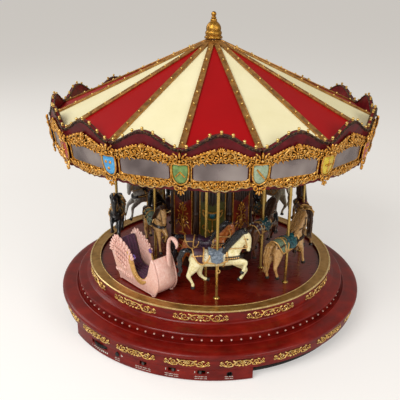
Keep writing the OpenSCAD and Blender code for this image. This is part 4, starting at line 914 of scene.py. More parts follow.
boss = join([dab(0, 83.5, 4.4, 4.8, 1.8, 0, 0.6, 14, 8)]
            + [dab(s * 8.6, 83, 2.2, 3, 1.3, 0, 0.6, 10, 6) for s in (1, -1)])
settle(copies(boss, faces_green), "panel_bosses", "rotor", "column_paint", teal)
urn = rods([[(0, 50, 0.8, 1.2), (0, 66, 0.9, 0.9), (0, 92, 0.9, 0.7)],
            [(-6, 50, 0.8, 1.0), (0, 52, 1, 1.2), (6, 50, 0.8, 1.0)],
            *both(6, 74, 5.0, 1.2, -60, 320, 1.0, 0.9), *both(5, 88, 3.8, 1.0, -60, 320, 0.9, 0.9),
            *both(7, 27, 3.6, 1, 0, 380, 0.9, 0.6),
            [(-13.5, 60, 0.5, 0.8), (-9, 66, 0.8, 0.9), (0, 60, 1, 1), (9, 66, 0.8, 0.9), (13.5, 60, 0.5, 0.8)]], 1)
urn = join([urn, dab(0, 68, 3.4, 4.8, 1.6, 0, 0.8), dab(0, 96, 1.7, 3.2, 1.4, 0, 0.8, 8, 6),
            dab(0, 27, 2.6, 2.6, 1.2, 0, 0.5)]
           + [dab(s * x, y, 3.0, 1.1, 1.1, t * s, 0.8, 8, 6) for s in (1, -1)
              for x, y, t in ((4, 93, 50), (8.5, 82, 20), (9, 70, -30), (4, 62, -60))])
settle(copies(urn, faces_red), "panel_urns", "rotor", "gilt", gilt)


# ---------------------------------------------------------------- Sleigh
# A swan-shaped sleigh of cast resin in pink gloss paint: two feathered wings, a bowed
# front and a curved neck, with gilt along the open sides.
def gloss(name, tones, hollow_shade, clear, raised_mm):
    """Gloss paint, darker in the hollows of the casting by ambient occlusion: painted shade."""
    made = gilding(name, tones, hollow_shade)
    surface = made.node_tree.nodes["surface"].inputs
    surface["Metallic"].default_value = 0
    surface["Coat Weight"].default_value = clear
    made.node_tree.nodes["raised"].inputs["Distance"].default_value = raised_mm * MM
    return made


# The pink turns darker in the recesses of the wings and neck: painted shade.
pink = gloss("pink gloss paint on cast resin", ["EBB3A2", "F3C2B2", "FAD4C6"], "8A4436", 0.4, 0.04)
trim_gold = finish("gold paint on cast resin", ["C08A44", "E8BC72"], 2.5, (0.25, 0.4), bump=0.05, fine=0.9,
                   Metallic=0.25)
sleigh_frame = station(-47, 0, deck_top + 0.02) @ Matrix.Translation((10.5 * MM, -135.5 * MM, 0))
sleigh_in, sleigh_widen = 2.3, 1.17
side_up = (sleigh_frame @ Matrix.Rotation(pi / 2, 4, "X") @ Matrix.Translation((0, 0, -sleigh_in * MM))
           @ Matrix.Diagonal((1, 1, sleigh_widen, 1)))


def smooth_run(stops, parts=4):
    """A smooth run through stops, each a tuple of numbers."""
    run = []
    for k in range(len(stops) - 1):
        near = stops[max(k - 1, 0)], stops[k], stops[k + 1], stops[min(k + 2, len(stops) - 1)]
        for n in range(parts):
            t = n / parts
            run.append(tuple(0.5 * (2 * b + (c - a) * t + (2 * a - 5 * b + 4 * c - d) * t * t
                                    + (3 * b - a - 3 * c + d) * t ** 3) for a, b, c, d in zip(*near)))
    return run + [stops[-1]]


def face_outwards(piece):
    """Turns the faces of a closed mesh, or of a sheet, the same way."""
    alone(piece)
    bpy.ops.object.mode_set(mode="EDIT")
    bpy.ops.mesh.select_all(action="SELECT")
    bpy.ops.mesh.normals_make_consistent(inside=False)
    bpy.ops.object.mode_set(mode="OBJECT")
    return piece


def slab(outline, low, high, round_mm=0.6):
    """A plate between two heights over a closed outline in x and y, with its edges rounded."""
    n = len(outline)
    points = [(x, y, low) for x, y in outline] + [(x, y, high) for x, y in outline]
    faces = [list(range(n - 1, -1, -1)), list(range(n, 2 * n))] + [(k, (k + 1) % n, n + (k + 1) % n, n + k)
                                                                   for k in range(n)]
    plate = face_outwards(from_points(points, faces=faces))
    return use(plate, ("BEVEL", {"width": round_mm * MM, "segments": 3, "limit_method": "ANGLE", "angle_limit": 0.9}))


side_line = [(-34, 3), (0, 2.4), (38, 3), (45.5, 9), (48.6, 18), (47.4, 30), (43, 42), (38.6, 51), (35.4, 52.6),
             (31.6, 43), (27.4, 29), (21, 19.6), (12, 16.8), (3, 21), (-2, 29), (-6, 40), (-13, 49), (-24, 56),
             (-39, 61), (-45, 55), (-51, 46), (-52, 38), (-47, 26),
             (-41, 13), (-34, 3)]
wing_line = smooth_run(side_line, 4)[:-1]
wings = []
for side in (1, -1):
    parts = [slab(wing_line, 12.1, 14.5, 0.7)]
    for k, (x, y) in enumerate(smooth_run([(-5, 39), (-13, 48.5), (-24, 55.5), (-38, 60.5), (-45.5, 54), (-51, 45),
                                           (-51.5, 38)], 4)):
        turn = 62 + 4.2 * k if k < 12 else 128 + 6 * (k - 12)
        parts.append(dab(x, y, 5.2 if k % 2 else 3.6, 1.9, 1.7, turn, 13.6 + 0.8 * (k % 2), 10, 6))
    for row, (size, count) in enumerate(((5.4, 8), (5.0, 7), (4.4, 6), (3.8, 5))):
        for k in range(count):
            x = -12 - 3.4 * row - 4.3 * k + 2 * (row % 2)
            y = 41 - 6.2 * row + 2.3 * k - 0.16 * k * k
            parts.append(dab(x, y, size, 2.0, 2.3, 118 - 3 * k, 14.2, 12, 6))
            parts.append(dab(x + 0.4, y + 0.6, size * 0.9, 0.55, 2.9, 118 - 3 * k, 14.3, 8, 6))
    for k in range(7):
        parts.append(dab(-40 + 5.5 * k, 12 + 1.2 * sin(k), 4.4, 1.9, 1.3, 150 - 8 * k, 14.2, 10, 6))
    parts.append(rods([[(x, y, 13.4, 1.3) for x, y in smooth_run(side_line[:2] + [(20, 2.6), (38, 3.2)], 4)],
                       curl(-33, 3.2, 3.0, 1.4, 0, -300, 1.7, 13), curl(38, 3.2, 3.0, 1.4, 180, 480, 1.7, 13)], 2))
    for x in (-33.4, 38.2):
        parts.append(dab(x, 1.6, 2.4, 1.5, 2.2, 0, 12.2, 10, 6))
    wings.append(copies(join(parts), [Matrix.Scale(side, 4, (0, 0, 1))]))
front_line = smooth_run([(-34, 4.2), (0, 3.8), (36, 4.2), (43.6, 8.4), (47, 14), (48.4, 21), (47, 31), (43, 42),
                         (38.4, 51), (35.6, 52)], 3)
front_points, bow, front_half = [], 9, 12.6
for x, y in front_line:
    for n in range(bow):
        z = front_half * (2 * n / (bow - 1) - 1)
        swell = 1.4 * cos(pi / 2 * z / front_half) * (1 if x > 40 else 0)
        front_points.append((x + swell, y, z))
front = use(from_points(front_points, faces=grid(len(front_line) - 1, bow - 1)),
            ("SOLIDIFY", {"thickness": 2.4 * MM, "offset": -1.0}), ("SUBSURF", {"levels": 1, "render_levels": 1}))


def flesh(stops, sides=14, parts=4):
    """A limb or trunk through stops of x, y, z, half depth and half width, rounded at its ends."""
    run = smooth_run(stops, parts)
    points, faces = [], []
    for k, (x, y, z, deep, wide) in enumerate(run):
        ahead, behind = run[min(k + 1, len(run) - 1)], run[max(k - 1, 0)]
        dx, dz = ahead[0] - behind[0], ahead[2] - behind[2]
        long = hypot(dx, dz) or 1
        for n in range(sides):
            a = 2 * pi * n / sides
            points.append((x - dz / long * deep * cos(a), y + wide * sin(a), z + dx / long * deep * cos(a)))
    last = len(run) - 1
    for k in range(last):
        for n in range(sides):
            m = (n + 1) % sides
            faces.append((k * sides + n, (k + 1) * sides + n, (k + 1) * sides + m, k * sides + m))
    for k, beyond in ((0, 1), (last, last - 1)):
        x, y, z, deep, wide = run[k]
        tip = [x + 0.9 * (x - run[beyond][0]), y, z + 0.9 * (z - run[beyond][2])]
        points.append(tip)
        for n in range(sides):
            m = (n + 1) % sides
            faces.append((k * sides + n, k * sides + m, len(points) - 1))
    return face_outwards(from_points(points, faces=faces))


swan = join([
    flesh([(43.4, 7.0, 36, 2.6, 4.2), (41.8, 7.6, 44, 3.0, 4.0), (40.4, 8.0, 52, 3.0, 3.2), (39.8, 8.0, 62, 2.6, 2.4),
           (40.6, 7.6, 71, 2.4, 2.2), (44.6, 7.2, 78.6, 2.4, 2.2), (50.6, 6.8, 81.2, 2.6, 2.3),
           (55.4, 6.6, 79.6, 2.9, 2.4)], 16),
    flesh([(53.4, 6.6, 80.6, 2.9, 2.5), (57.2, 6.6, 77.4, 2.6, 2.2), (58.2, 6.6, 72.6, 1.6, 1.4),
           (56.6, 6.6, 69.4, 0.8, 0.9)], 12, 3)])
swan.data.transform(Matrix.Rotation(-pi / 2, 4, "X"))
sleigh = join([wings[0], wings[1], front, swan])
sleigh.data.transform(side_up)
settle(sleigh, "sleigh_body", "rotor", "pink_resin", pink, smooth=55)
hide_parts("sleigh")

opening = smooth_run(side_line[8:16], 4)
band_run = smooth_run([(-15, 48.4, 0.9), (-12.4, 45, 2.2), (-9.2, 38, 3.2), (-5.6, 29, 3.3), (-1, 20.6, 3.4),
                       (5.6, 15, 3.4), (12.6, 12.9, 3.3), (19, 14.2, 2.6), (24.4, 17.4, 1.0)], 3)
band_line, band_edge = [], []
for k, (x, y, half) in enumerate(band_run):
    ahead, behind = band_run[min(k + 1, len(band_run) - 1)], band_run[max(k - 1, 0)]
    long = hypot(ahead[0] - behind[0], ahead[1] - behind[1])
    nx, ny = (behind[1] - ahead[1]) / long * half, (ahead[0] - behind[0]) / long * half
    band_line.append((x - nx, y - ny))
    band_edge.insert(0, (x + nx, y + ny))
trims = []
for side in (1, -1):
    trims.append(rods([[(x, y, side * 13.6, 0.9) for x, y in opening[10:]]], 2))
    trims.append(copies(slab(band_line + band_edge, 14.0, 15.5), [Matrix.Scale(side, 4, (0, 0, 1))]))
trims = join(trims)
trims.data.transform(side_up)
settle(trims, "sleigh_trim", "rotor", "gilt", trim_gold)

lavender = finish("lavender paint", ["5E3F86", "8C6BB0"], 3, (0.3, 0.42), bump=0.06)
rosettes = []
for side in (1, -1):
    for k in range(7):
        turn = 360 / 7 * k
        rosettes.append(dab(*around(-4.5, 42, 2.0, turn), 1.7, 0.9, 0.9, turn, side * 11.6, 8, 6))
    rosettes.append(dab(-4.5, 42, 1.1, 1.1, 1.2, 0, side * 11.4, 8, 6))
rosettes = join(rosettes)
rosettes.data.transform(side_up)
settle(rosettes, "sleigh_rosettes", "rotor", "pink_resin", lavender)

# The seat and its back are moulded in one with soft-looking channels, and painted a deep
# purple that looks like velvet. A piping of the same colour runs along its two edges.
plum = finish("deep purple paint on moulded padding", ["2C1228", "48203C", "602C50"], 3.2, (0.5, 0.7), bump=0.12,
              fine=0.9, Sheen_Weight=0.35, Sheen_Roughness=0.4)
seat_line = smooth_run([(-30, 5.5), (0, 5.5), (24, 5.5), (25.4, 12), (22, 18.2), (0, 19.6), (-18, 20.4), (-24.5, 27),
                        (-30.5, 42), (-36, 56), (-41, 56.5), (-45, 42), (-40, 24), (-33, 9)], 4)[:-1]
channel_w = 4.3
channels = copies(slab(seat_line, -channel_w / 2, channel_w / 2, 1.5),
                  [Matrix.Translation((0, 0, channel_w * k * MM)) for k in range(-2, 3)])
seat = join([channels, rods([[(24.6, 14, -10.6, 0.7), (24.6, 14, 10.6, 0.7)],
                             [(-37.5, 57, -10.4, 0.9), (-37.5, 57, 10.4, 0.9)]], 2)])
seat.data.transform(side_up)
settle(seat, "sleigh_cushions", "rotor", "seat_purple", plum, smooth=50)
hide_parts("sleigh_seat")

# ---------------------------------------------------------------- Horses
# Thirteen cast resin horses in three galloping poses, each with mane, tail, hooves and
# tack modelled in the casting and painted by hand. A brass pole runs through each one.
# Each coat turns to its darker tone where ambient occlusion finds a recess: painted shade in the creases of the
# casting.
coats = {key: gloss(f"{paint} paint", tones.split(), hollow_shade, 0.35, 0.08) for key, paint, tones, hollow_shade in (
    ("cream_horse", "cream gloss", "D8C684 F0E4AE FAF2CC", "6E5022"),
    ("tan_horse", "tan gloss", "9A6C34 C0945A D6AE72", "3E240E"),
    ("gold_horse", "brown and gold", "5A3412 8A5E22 BC9444", "241206"),
    ("silver_horse", "silver-cream", "8E8874 B9B39A DAD4BC", "3A3628"),
    ("brown_horse", "brown gloss", "3E2112 5E3820 7E5030", "180C06"),
    ("grey_horse", "grey-white gloss", "8A8880 B8B6AE D8D6CE", "3C3A36"),
    ("black_horse", "black gloss", "0A0A0B 17181A 2A2C30", "030303"),
    ("orange_horse", "orange-brown gloss", "7A3A12 A85A22 C47836", "301404"),
    ("chestnut_horse", "chestnut gloss", "4A1E0E 6E3018 8E4828", "1C0A04"))}
hairs = {
    "black": finish("black painted hair", ["060708", "14161A", "2A3038"], 1.6, (0.2, 0.34), bump=0.2, fine=0.8,
                    Coat_Weight=0.4),
    "cream": finish("cream painted hair", ["A89A66", "DCD09C", "EFE6BE"], 1.6, (0.3, 0.4), bump=0.2, fine=0.8),
    "tan": finish("tan painted hair", ["6E4820", "A0763E", "BE955A"], 1.6, (0.3, 0.42), bump=0.2, fine=0.8),
    "brown": finish("dark brown painted hair", ["1A0E08", "38200F", "573418"], 1.6, (0.26, 0.4), bump=0.2, fine=0.8)}
hooves = finish("dark painted hooves", ["0C0907", "221812"], 2, (0.3, 0.44), bump=0.05)
leather = {key: finish(f"{paint} saddle paint", tones.split(), 2.6, rough, bump=0.1, fine=0.8)
           for key, paint, tones, rough in (
    ("slate", "slate blue", "3E4A56 66727E 98A2AC", (0.28, 0.42)),
    ("teal", "teal", "0B2A30 14474E 2A6A6E", (0.22, 0.36)),
    ("plum", "dark purple", "180C16 301A2E 4A2C44", (0.26, 0.42)),
    ("green", "grey-green", "39463A 5D6E5C 7E9080", (0.26, 0.42)),
    ("wine", "wine red", "3A0A12 5E141E 7C2430", (0.26, 0.42)))}
blankets = {key: finish(f"{paint} blanket paint", tones.split(), 1.8, rough, bump=0.14, fine=0.7, Metallic=metal)
            for key, paint, tones, rough, metal in (
                ("purple", "purple-brown", "2A1420 42202C 5A3440", (0.4, 0.56), 0.0),
                ("white", "white and gold", "BFB28A E0D6B4 F2ECD2", (0.34, 0.5), 0.0),
                ("gold", "old gold", "6E4A18 A07A30 C49C4C", (0.3, 0.46), 0.4),
                ("green", "sage", "3C4A38 64785E 8A9C84", (0.36, 0.52), 0.0))}
strap = {
    "gold": trim_gold,
    "silver": finish("silver tack paint", ["77746C", "A8A498", "CFCBBE"], 1.6, (0.24, 0.38), bump=0.06, Metallic=0.6),
    "brown": finish("brown tack paint", ["2A140A", "48260F"], 1.6, (0.3, 0.44), bump=0.06)}

trunk_stops = [(-33.5, 46.5, 7.0, 6.0), (-30, 45, 10.2, 8.0), (-23, 43.8, 12.4, 9.2), (-13, 42.2, 11.4, 9.0),
               (-2, 41.6, 10.6, 9.2), (9, 42.6, 11.0, 9.2), (18, 44.2, 11.6, 8.6), (24.5, 45.6, 9.8, 7.4),
               (28.5, 46.6, 6.6, 5.4)]
trunk_run = smooth_run(trunk_stops, 5)


def round_at(x):
    """The trunk's middle height, half depth and half width at x."""
    for a, b in zip(trunk_run, trunk_run[1:]):
        if a[0] <= x <= b[0]:
            t = (x - a[0]) / (b[0] - a[0])
            return [p + (q - p) * t for p, q in zip(a[1:], b[1:])]
    return list(trunk_run[0][1:] if x < 0 else trunk_run[-1][1:])


def on_trunk(x, degrees, out):
    """A point so far out of the trunk at x, its angle taken from straight up, and outer side negative."""
    z, deep, wide = round_at(x)
    a = radians(degrees)
    return (x, (wide + out) * sin(a), z + (deep + out) * cos(a))


def upwards(sheet):
    """Turns a sheet over if its middle looks down."""
    if sheet.data.polygons[len(sheet.data.polygons) // 2].normal.z < 0:
        sheet.data.flip_normals()
    return sheet


def cloth(back, fore, side_deg, out, thick=0.7, dip=0.0, hem=0.0, columns=12, rows=20):
    """A close-lying cloth over the trunk from back to fore, down to an angle on each side, and its edge."""
    points = []
    for i in range(columns + 1):
        u = i / columns
        for j in range(rows + 1):
            v = 2 * j / rows - 1
            x = back + (fore - back) * u + dip * (u - 0.5) * abs(v)
            reach = side_deg * (1 - hem * (2 * u - 1) ** 2)
            points.append(on_trunk(x, v * reach, out))
    sheet = upwards(face_outwards(from_points(points, faces=grid(columns, rows))))
    use(sheet, ("SOLIDIFY", {"thickness": thick * MM, "offset": 1.0}),
        ("BEVEL", {"width": 0.2 * MM, "segments": 2, "limit_method": "ANGLE"}))
    border = [points[j] for j in range(rows + 1)]
    border += [points[i * (rows + 1) + rows] for i in range(1, columns + 1)]
    border += [points[columns * (rows + 1) + j] for j in range(rows - 1, -1, -1)]
    border += [points[i * (rows + 1)] for i in range(columns - 1, -1, -1)]
    return sheet, [(x, y * 1.06, z + (0.5 if z > 45 else 0) + 0.3, 0.9) for x, y, z in border]


# A leg's half depths and half widths from the shoulder or thigh down to the pastern.
shin = [(2.2, 2.0), (1.9, 1.8), (2.3, 2.1), (2.0, 1.9)]
leg_forms = {
    "straight": [(7.5, 4.6), (4.6, 3.6), (2.9, 2.7)] + shin, "bent": [(7.5, 4.6), (4.8, 3.7), (3.0, 2.7)] + shin,
    "high": [(7.5, 4.6), (5.0, 3.7), (3.0, 2.7)] + shin,
    "hind": [(10, 5.4), (7.0, 4.4), (3.6, 2.8), (3.0, 2.4), (2.1, 1.9)] + shin[1:],
    "tucked": [(10, 5.4), (6.4, 4.2), (3.4, 2.8), (2.6, 2.2), (2.0, 1.9)] + shin[2:]}
legs_of = [
    [("high", [(22, 41), (29, 39), (36, 38), (35.2, 32), (34.3, 28), (33.4, 26.6), (32.4, 25)]),
     ("straight", [(20, 38), (29, 30.5), (37.6, 23.4), (36, 18), (33.4, 13), (32, 11.2), (30.4, 9.4)]),
     ("hind", [(-25, 41), (-30, 31), (-35.6, 22), (-36.6, 19), (-33.8, 13.5), (-31.4, 8.6), (-31, 6.6), (-31, 4)]),
     ("tucked", [(-23, 40), (-23, 28), (-22, 18.5), (-20, 14.6), (-17, 11.6), (-14.6, 10.2), (-12, 9.4)])],
    [("straight", [(22, 40), (26.6, 31), (30, 24), (31.4, 18), (33, 11), (33.8, 8.6), (34.8, 5.4)]),
     ("bent", [(22, 40), (29.6, 36.6), (36, 33), (34, 27.6), (31, 22.4), (29.8, 21), (28, 20)]),
     ("hind", [(-25, 41), (-29, 30), (-32.6, 21), (-33, 18.4), (-31, 13), (-29, 8.6), (-28, 6.4), (-27.2, 4)]),
     ("hind", [(-24, 41), (-31, 31), (-37.4, 22.6), (-38.4, 19.6), (-37.8, 14), (-37, 9.6), (-36.6, 7.6),
               (-36.2, 5.2)])],
    [("bent", [(23, 41), (31, 37.6), (38, 34), (40, 29), (42, 23.4), (43, 21.4), (44.6, 19.6)]),
     ("bent", [(22, 40), (30, 34.6), (37, 29.4), (38, 23), (39, 17), (40, 14.8), (41.6, 12.6)]),
     ("hind", [(-25, 41), (-31.6, 31), (-37.4, 23.4), (-38.4, 20.6), (-39.6, 15.6), (-41, 11), (-42, 8.8),
               (-43.4, 6.4)]),
     ("hind", [(-25, 41), (-29.4, 30), (-32.8, 21.4), (-33.4, 18.6), (-35, 13), (-36.2, 9), (-37.2, 6.6),
               (-38.6, 4.2)])]]
bodies, ends = [], []
for legs in legs_of:
    parts = [flesh([(x, 0, z, deep, wide) for x, z, deep, wide in trunk_stops], 20, 4),
             flesh([(14, 0, 46, 11, 7.2), (20, 0, 53, 10, 5.8), (25.6, 0, 61, 8.2, 4.8), (30.4, 0, 68.6, 6.2, 4.1),
                    (33.2, 0, 73.6, 5.0, 3.8)], 16, 4),
             flesh([(31.6, 0, 76.2, 4.6, 3.7), (35.8, 0, 72.0, 6.0, 4.4), (38.0, 0, 65.8, 5.2, 3.8),
                    (39.0, 0, 59.6, 3.8, 3.0), (39.4, 0, 54.6, 3.2, 2.7), (38.8, 0, 52.0, 2.3, 2.1)], 16, 4)]
    for s in (1, -1):
        parts.append(flesh([(32.2, 2.5 * s, 76.4, 1.2, 1.0), (33.2, 2.7 * s, 79.4, 1.1, 0.9),
                            (34.8, 2.7 * s, 82.4, 0.5, 0.4)], 8, 2))
        parts.append(flesh([(36.4, 3.2 * s, 68.6, 0.9, 0.7), (37.8, 3.1 * s, 67.8, 0.9, 0.7)], 8, 2))
        parts.append(flesh([(22, 4.2 * s, 43, 6.4, 4.2), (25, 4.2 * s, 39, 5.6, 4.0)], 12, 3))
        parts.append(flesh([(-25, 4.2 * s, 44, 9.2, 4.8), (-27, 4.4 * s, 37, 8.2, 4.6)], 12, 3))
    gait_ends = []
    for n, (form, leg) in enumerate(legs):
        y = -5.0 if n % 2 == 0 else 5.0
        parts.append(flesh([(x, y * min(1.0, 0.82 + 0.06 * k), z, *size)
                            for k, ((x, z), size) in enumerate(zip(leg, leg_forms[form]))], 12, 3))
        foot, above = leg[-1], leg[-2]
        gait_ends.append((foot[0], y, foot[1], degrees(atan2(foot[0] - above[0], above[1] - foot[1]))))
    body = join(parts)
    use(body, ("REMESH", {"mode": "VOXEL", "voxel_size": 0.85 * MM}), ("SMOOTH", {"factor": 0.5, "iterations": 5}))
    bodies.append(body)
    ends.append(gait_ends)

hoof = turn_on_lathe([(0.01, -2.7), (2.9, -2.7), (3.0, -2.3), (2.3, 0.6), (2.0, 0.9), (0.01, 0.9)], 12, 0)
tail_line = [(-32, 51), (-37, 54), (-42.5, 52.4), (-46.5, 45), (-47.6, 36), (-46.6, 27), (-48, 18.4)]


def lock(stops, r, sway, side_y):
    """A wavy lock of hair that thins to its end."""
    run = smooth_run(stops, 4)
    n = len(run) - 1
    return [(x + sway * sin(k * 1.3), y + side_y * k / n, z + 0.4 * cos(k * 1.7), r * (1 - 0.85 * (k / n) ** 1.5))
            for k, (x, y, z) in enumerate(run)]


def head_of_hair():
    """Mane and tail: overlapping locks that fly back from the crest, a forelock and a full tail."""
    runs = []
    crest = smooth_run([(14.5, 59), (18.4, 63), (22.4, 68), (26.6, 73.6), (30.4, 77.8), (34, 79.2)], 3)
    for k, (x, z) in enumerate(crest):
        for side in (-1, 0, 1):
            fall = 13.5 - 0.36 * k + (1.6 if k % 2 else 0)
            y0 = 1.3 * side
            runs.append(lock([(x + 1.2, y0, z - 1.4), (x - 2.2, y0 * 1.6 + 0.8 * side, z + 0.4),
                              (x - 6.6, y0 * 2 + 3.2 * side, z - 3.6),
                              (x - 9.2 + 0.6 * side, 4.0 * side + y0, z - fall)], 2.7, 0.7, 0.6 * side))
    for side in (-1, 1):
        runs.append(lock([(33.6, 0.8 * side, 79), (37, 1.3 * side, 77), (38.6, 1.5 * side, 73),
                          (39.6, 1.2 * side, 70.6)], 1.3, 0.2, 0))
    for n in range(9):
        a = radians(40 * n)
        spread = 0.2 + 0.8 * ((n * 5) % 9) / 8
        runs.append(lock([(x + 2.4 * spread * cos(a) * (k > 1), 2.8 * spread * sin(a) * min(1, k / 2), z)
                          for k, (x, z) in enumerate(tail_line)],
                         2.6, 0.8, 0.9 * sin(a)))
    return rods(runs, 1)


def saddle():
    """A seat that dips between a pommel and a high cantle, with a flap on each side."""
    points, rows = [], 14
    stops = smooth_run([(-11.5, 3.0), (-10, 3.4), (-7.6, 2.2), (-4.4, 1.4), (0, 1.1), (4, 1.5), (6.4, 2.4), (7.8, 2.2)],
                       3)
    for x, out in stops:
        for j in range(rows + 1):
            v = 2 * j / rows - 1
            points.append(on_trunk(x, 52 * v, max(0.9, out * (1 - v * v) ** 0.7)))
    seat_pad = upwards(from_points(points, faces=grid(len(stops) - 1, rows)))
    use(seat_pad, ("SOLIDIFY", {"thickness": 0.9 * MM, "offset": 1.0}), ("SUBSURF", {"levels": 1, "render_levels": 1}))
    flaps = []
    for side in (1, -1):
        points = []
        for i in range(9):
            for j in range(8):
                d = 44 + (60 - 8 * abs(i - 4.2) ** 1.2 / 3) * j / 7
                points.append(on_trunk(-9 + 1.9 * i + 0.7 * j / 7, side * d, 1.5))
        flap = from_points(points, faces=[face if side > 0 else face[::-1] for face in grid(8, 7)])
        flaps.append(use(flap, ("SOLIDIFY", {"thickness": 0.8 * MM, "offset": 1.0}),
                         ("SUBSURF", {"levels": 1, "render_levels": 1})))
    return join([seat_pad] + flaps)


def tack(ornate):
    """Straps, bridle, reins and stirrups, as one set of fine rods and studs."""
    runs = [[(*on_trunk(12 - 5 * abs(d) / 180, d, 0.5), 0.7) for d in [22.5 * k for k in range(-8, 9)]]]
    for x, z, deep, wide, lean in ((37.2, 58.6, 3.1, 2.6, 0), (35.4, 70.6, 5.1, 4.0, 24)):
        runs.append([(x + (deep + 0.2) * cos(a), (wide + 0.15) * sin(a),
                      z + (deep + 0.2) * cos(a) * tan(radians(lean)), 0.55)
                     for a in [radians(24 * k) for k in range(16)]])
    for s in (1, -1):
        runs.append([(*on_trunk(18 + 0.6 * k, s * (70 + 4 * k), 0.7), 0.8) for k in range(7)])
        runs.append([(*on_trunk(-18 - 1.8 * k, s * (60 + 1.5 * k), 0.7), 0.75) for k in range(9)])
        runs.append([(32.6, 3.5 * s, 75.2, 0.5), (34.8, 4.1 * s, 69, 0.5), (36.4, 3.2 * s, 62, 0.5),
                     (37, 2.9 * s, 58.6, 0.55)])
        runs.append([(37, 2.9 * s, 57, 0.5), (31, 4.8 * s, 57.6, 0.5), (22, 6.4 * s, 58.4, 0.5), (12, 4.6 * s, 57, 0.5),
                     (7.6, 1.4 * s, 57.4, 0.5)])
        runs.append([(*on_trunk(0.5, 98 * s, 2.2), 0.5), (0.8, 11.6 * s, 35, 0.5), (0.8, 11.2 * s, 31, 0.5)])
        stirrup = [around(0.8, 28.8, 2.3, a) for a in range(-240, 61, 30)]
        runs.append([(x, 11.2 * s, z, 0.6) for x, z in stirrup])
    spots = [on_trunk(10 + 2.7 * k, s * (75 + 2 * k), 1.9) for s in (1, -1) for k in range(7)]
    spots += [on_trunk(-18 - 1.8 * k, s * (60 + 1.5 * k), 1.3) for s in (1, -1) for k in range(0, 9, 2)]
    made = [rods(runs, 1)] + [dab(x, y, 1.15, 1.15, 1.15, 0, z, 8, 5) for x, y, z in spots]
    if ornate:
        for k in range(9):
            for s in (1, -1):
                x, y, z = on_trunk(-28 + 4.0 * k, s * (38 + 34 * (k % 2)), 1.6)
                made.append(dab(x, y, 2.2, 1.2, 1.6, 40 * k, z, 8, 6))
        for k in range(5):
            made.append(dab(35.6 - 0.4 * k, 0, 1.2, 1.0, 1.9, 0, 77 + 1.4 * k, 8, 6))
    return join(made)


# Each horse's gait, coat, hair, saddle, rump cloth and tack, and whether its harness is ornate.
looks = {
    "outer_horse_1": (0, "cream_horse", "black", "slate", "purple", "gold", False),
    "outer_horse_2": (1, "tan_horse", "tan", "teal", "green", "brown", False),
    "outer_horse_3": (2, "gold_horse", "brown", "wine", "gold", "gold", True),
    "outer_horse_4": (0, "silver_horse", "cream", "slate", "white", "silver", True),
    "outer_horse_5": (1, "brown_horse", "black", "plum", "purple", "silver", False),
    "outer_horse_6": (2, "grey_horse", "black", "wine", "white", "gold", True),
    "outer_horse_7": (0, "black_horse", "black", "green", "green", "gold", True),
    "inner_horse_1": (2, "orange_horse", "black", "plum", "purple", "gold", False),
    "inner_horse_2": (0, "brown_horse", "brown", "teal", "purple", "silver", True),
    "inner_horse_3": (1, "chestnut_horse", "black", "green", "gold", "gold", True),
    "inner_horse_4": (2, "cream_horse", "brown", "wine", "white", "gold", False),
    "inner_horse_5": (0, "black_horse", "black", "plum", "gold", "silver", False),
    "inner_horse_6": (1, "tan_horse", "brown", "green", "green", "brown", True)}
hair_mesh = head_of_hair()
saddle_mesh = saddle()
under_cloth, under_edge = cloth(-17, 11, 104, 0.35, 0.7, 3, 0.08)
rump_cloth, rump_edge = cloth(-32, -9, 116, 0.35, 0.9, -3, 0.42)
breast_run = [on_trunk(9 + 2.15 * k, -74 - 1.6 * k, 0.8) for k in range(10)] + [(31.2, -3.4, 46), (32.2, 0, 45.8)]
breast_run += [(x, -y, z) for x, y, z in reversed(breast_run[:-1])]
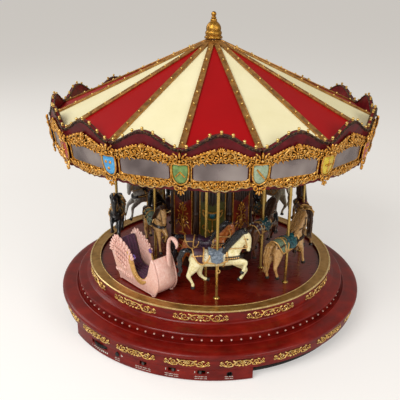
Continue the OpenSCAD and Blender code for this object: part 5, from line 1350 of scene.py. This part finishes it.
breast = join([rods([[(x, y, z + rise, 1.25) for x, y, z in breast_run] for rise in (-1.0, 0.9)], 1)]
              + [dab(37.2, 4.0 * s, 1.2, 0.8, 1.0, 0, 69.4, 10, 6) for s in (1, -1)]
              + [dab(41.6, 1.9 * s, 0.8, 0.7, 0.7, 0, 55.4, 8, 5) for s in (1, -1)])
tack_meshes = [tack(False), tack(True)]
edges_mesh = rods([under_edge, rump_edge], 1)
feet_meshes = [join([placed(hoof, Matrix.Translation((x * MM, y * MM, z * MM))
                            @ Matrix.Rotation(radians(-lean), 4, "Y"))
                     for x, y, z, lean in gait_ends]) for gait_ends in ends]
pole_long, pole_low, figure_z, stroke = 218.2, 39.8, 86.5, 10
fixed_pole = turn_on_lathe([(0.01, 0), (3.2, 0), (3.4, 0.4), (3.4, 2.6), (3.0, 3), (2, 3.2), (2, pole_long - 0.2),
                            (1.8, pole_long), (0.01, pole_long)], 24, 0.1)
for name, (gait, coat_key, hair_key, saddle_key, blanket_key, strap_key, ornate) in looks.items():
    outer = name.startswith("outer")
    k = int(name[-1]) - 1
    raised = stroke if (k // 2 % 2 if outer else k % 2) else 0
    bearing, reach, size = (outer_at[k], outer_r, 1.0) if outer else (inner_at[k], inner_r, 0.9)
    place = station(bearing, reach, figure_z + raised) @ Matrix.Scale(size, 4)
    dressed = []
    for mesh, material in ((bodies[gait], coats[coat_key]), (hair_mesh, hairs[hair_key]), (feet_meshes[gait], hooves),
                           (saddle_mesh, leather[saddle_key]),
                           (under_cloth, blankets["white" if coat_key == "cream_horse" and outer else blanket_key]),
                           (rump_cloth, blankets[blanket_key]), (tack_meshes[ornate], strap[strap_key]),
                           (edges_mesh, trim_gold), (breast, hooves)):
        one = placed(mesh, place)
        one.data.materials.clear()
        one.data.materials.append(material)
        dressed.append(one)
    rider = name.replace("_horse", "")
    piece = join(dressed)
    settle(piece, f"{name}_painted", rider, coat_key, smooth=50)
    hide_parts(name)
    if not outer:
        one = placed(fixed_pole, station(inner_at[k], inner_r, pole_low + raised))
        settle(one, f"inner_pole_{k + 1}", rider, "pole_brass", pole_brass)
for spare in bodies + feet_meshes + tack_meshes + [hair_mesh, saddle_mesh, under_cloth, rump_cloth, edges_mesh, breast,
                                                   hoof, fixed_pole]:
    bpy.data.objects.remove(spare)
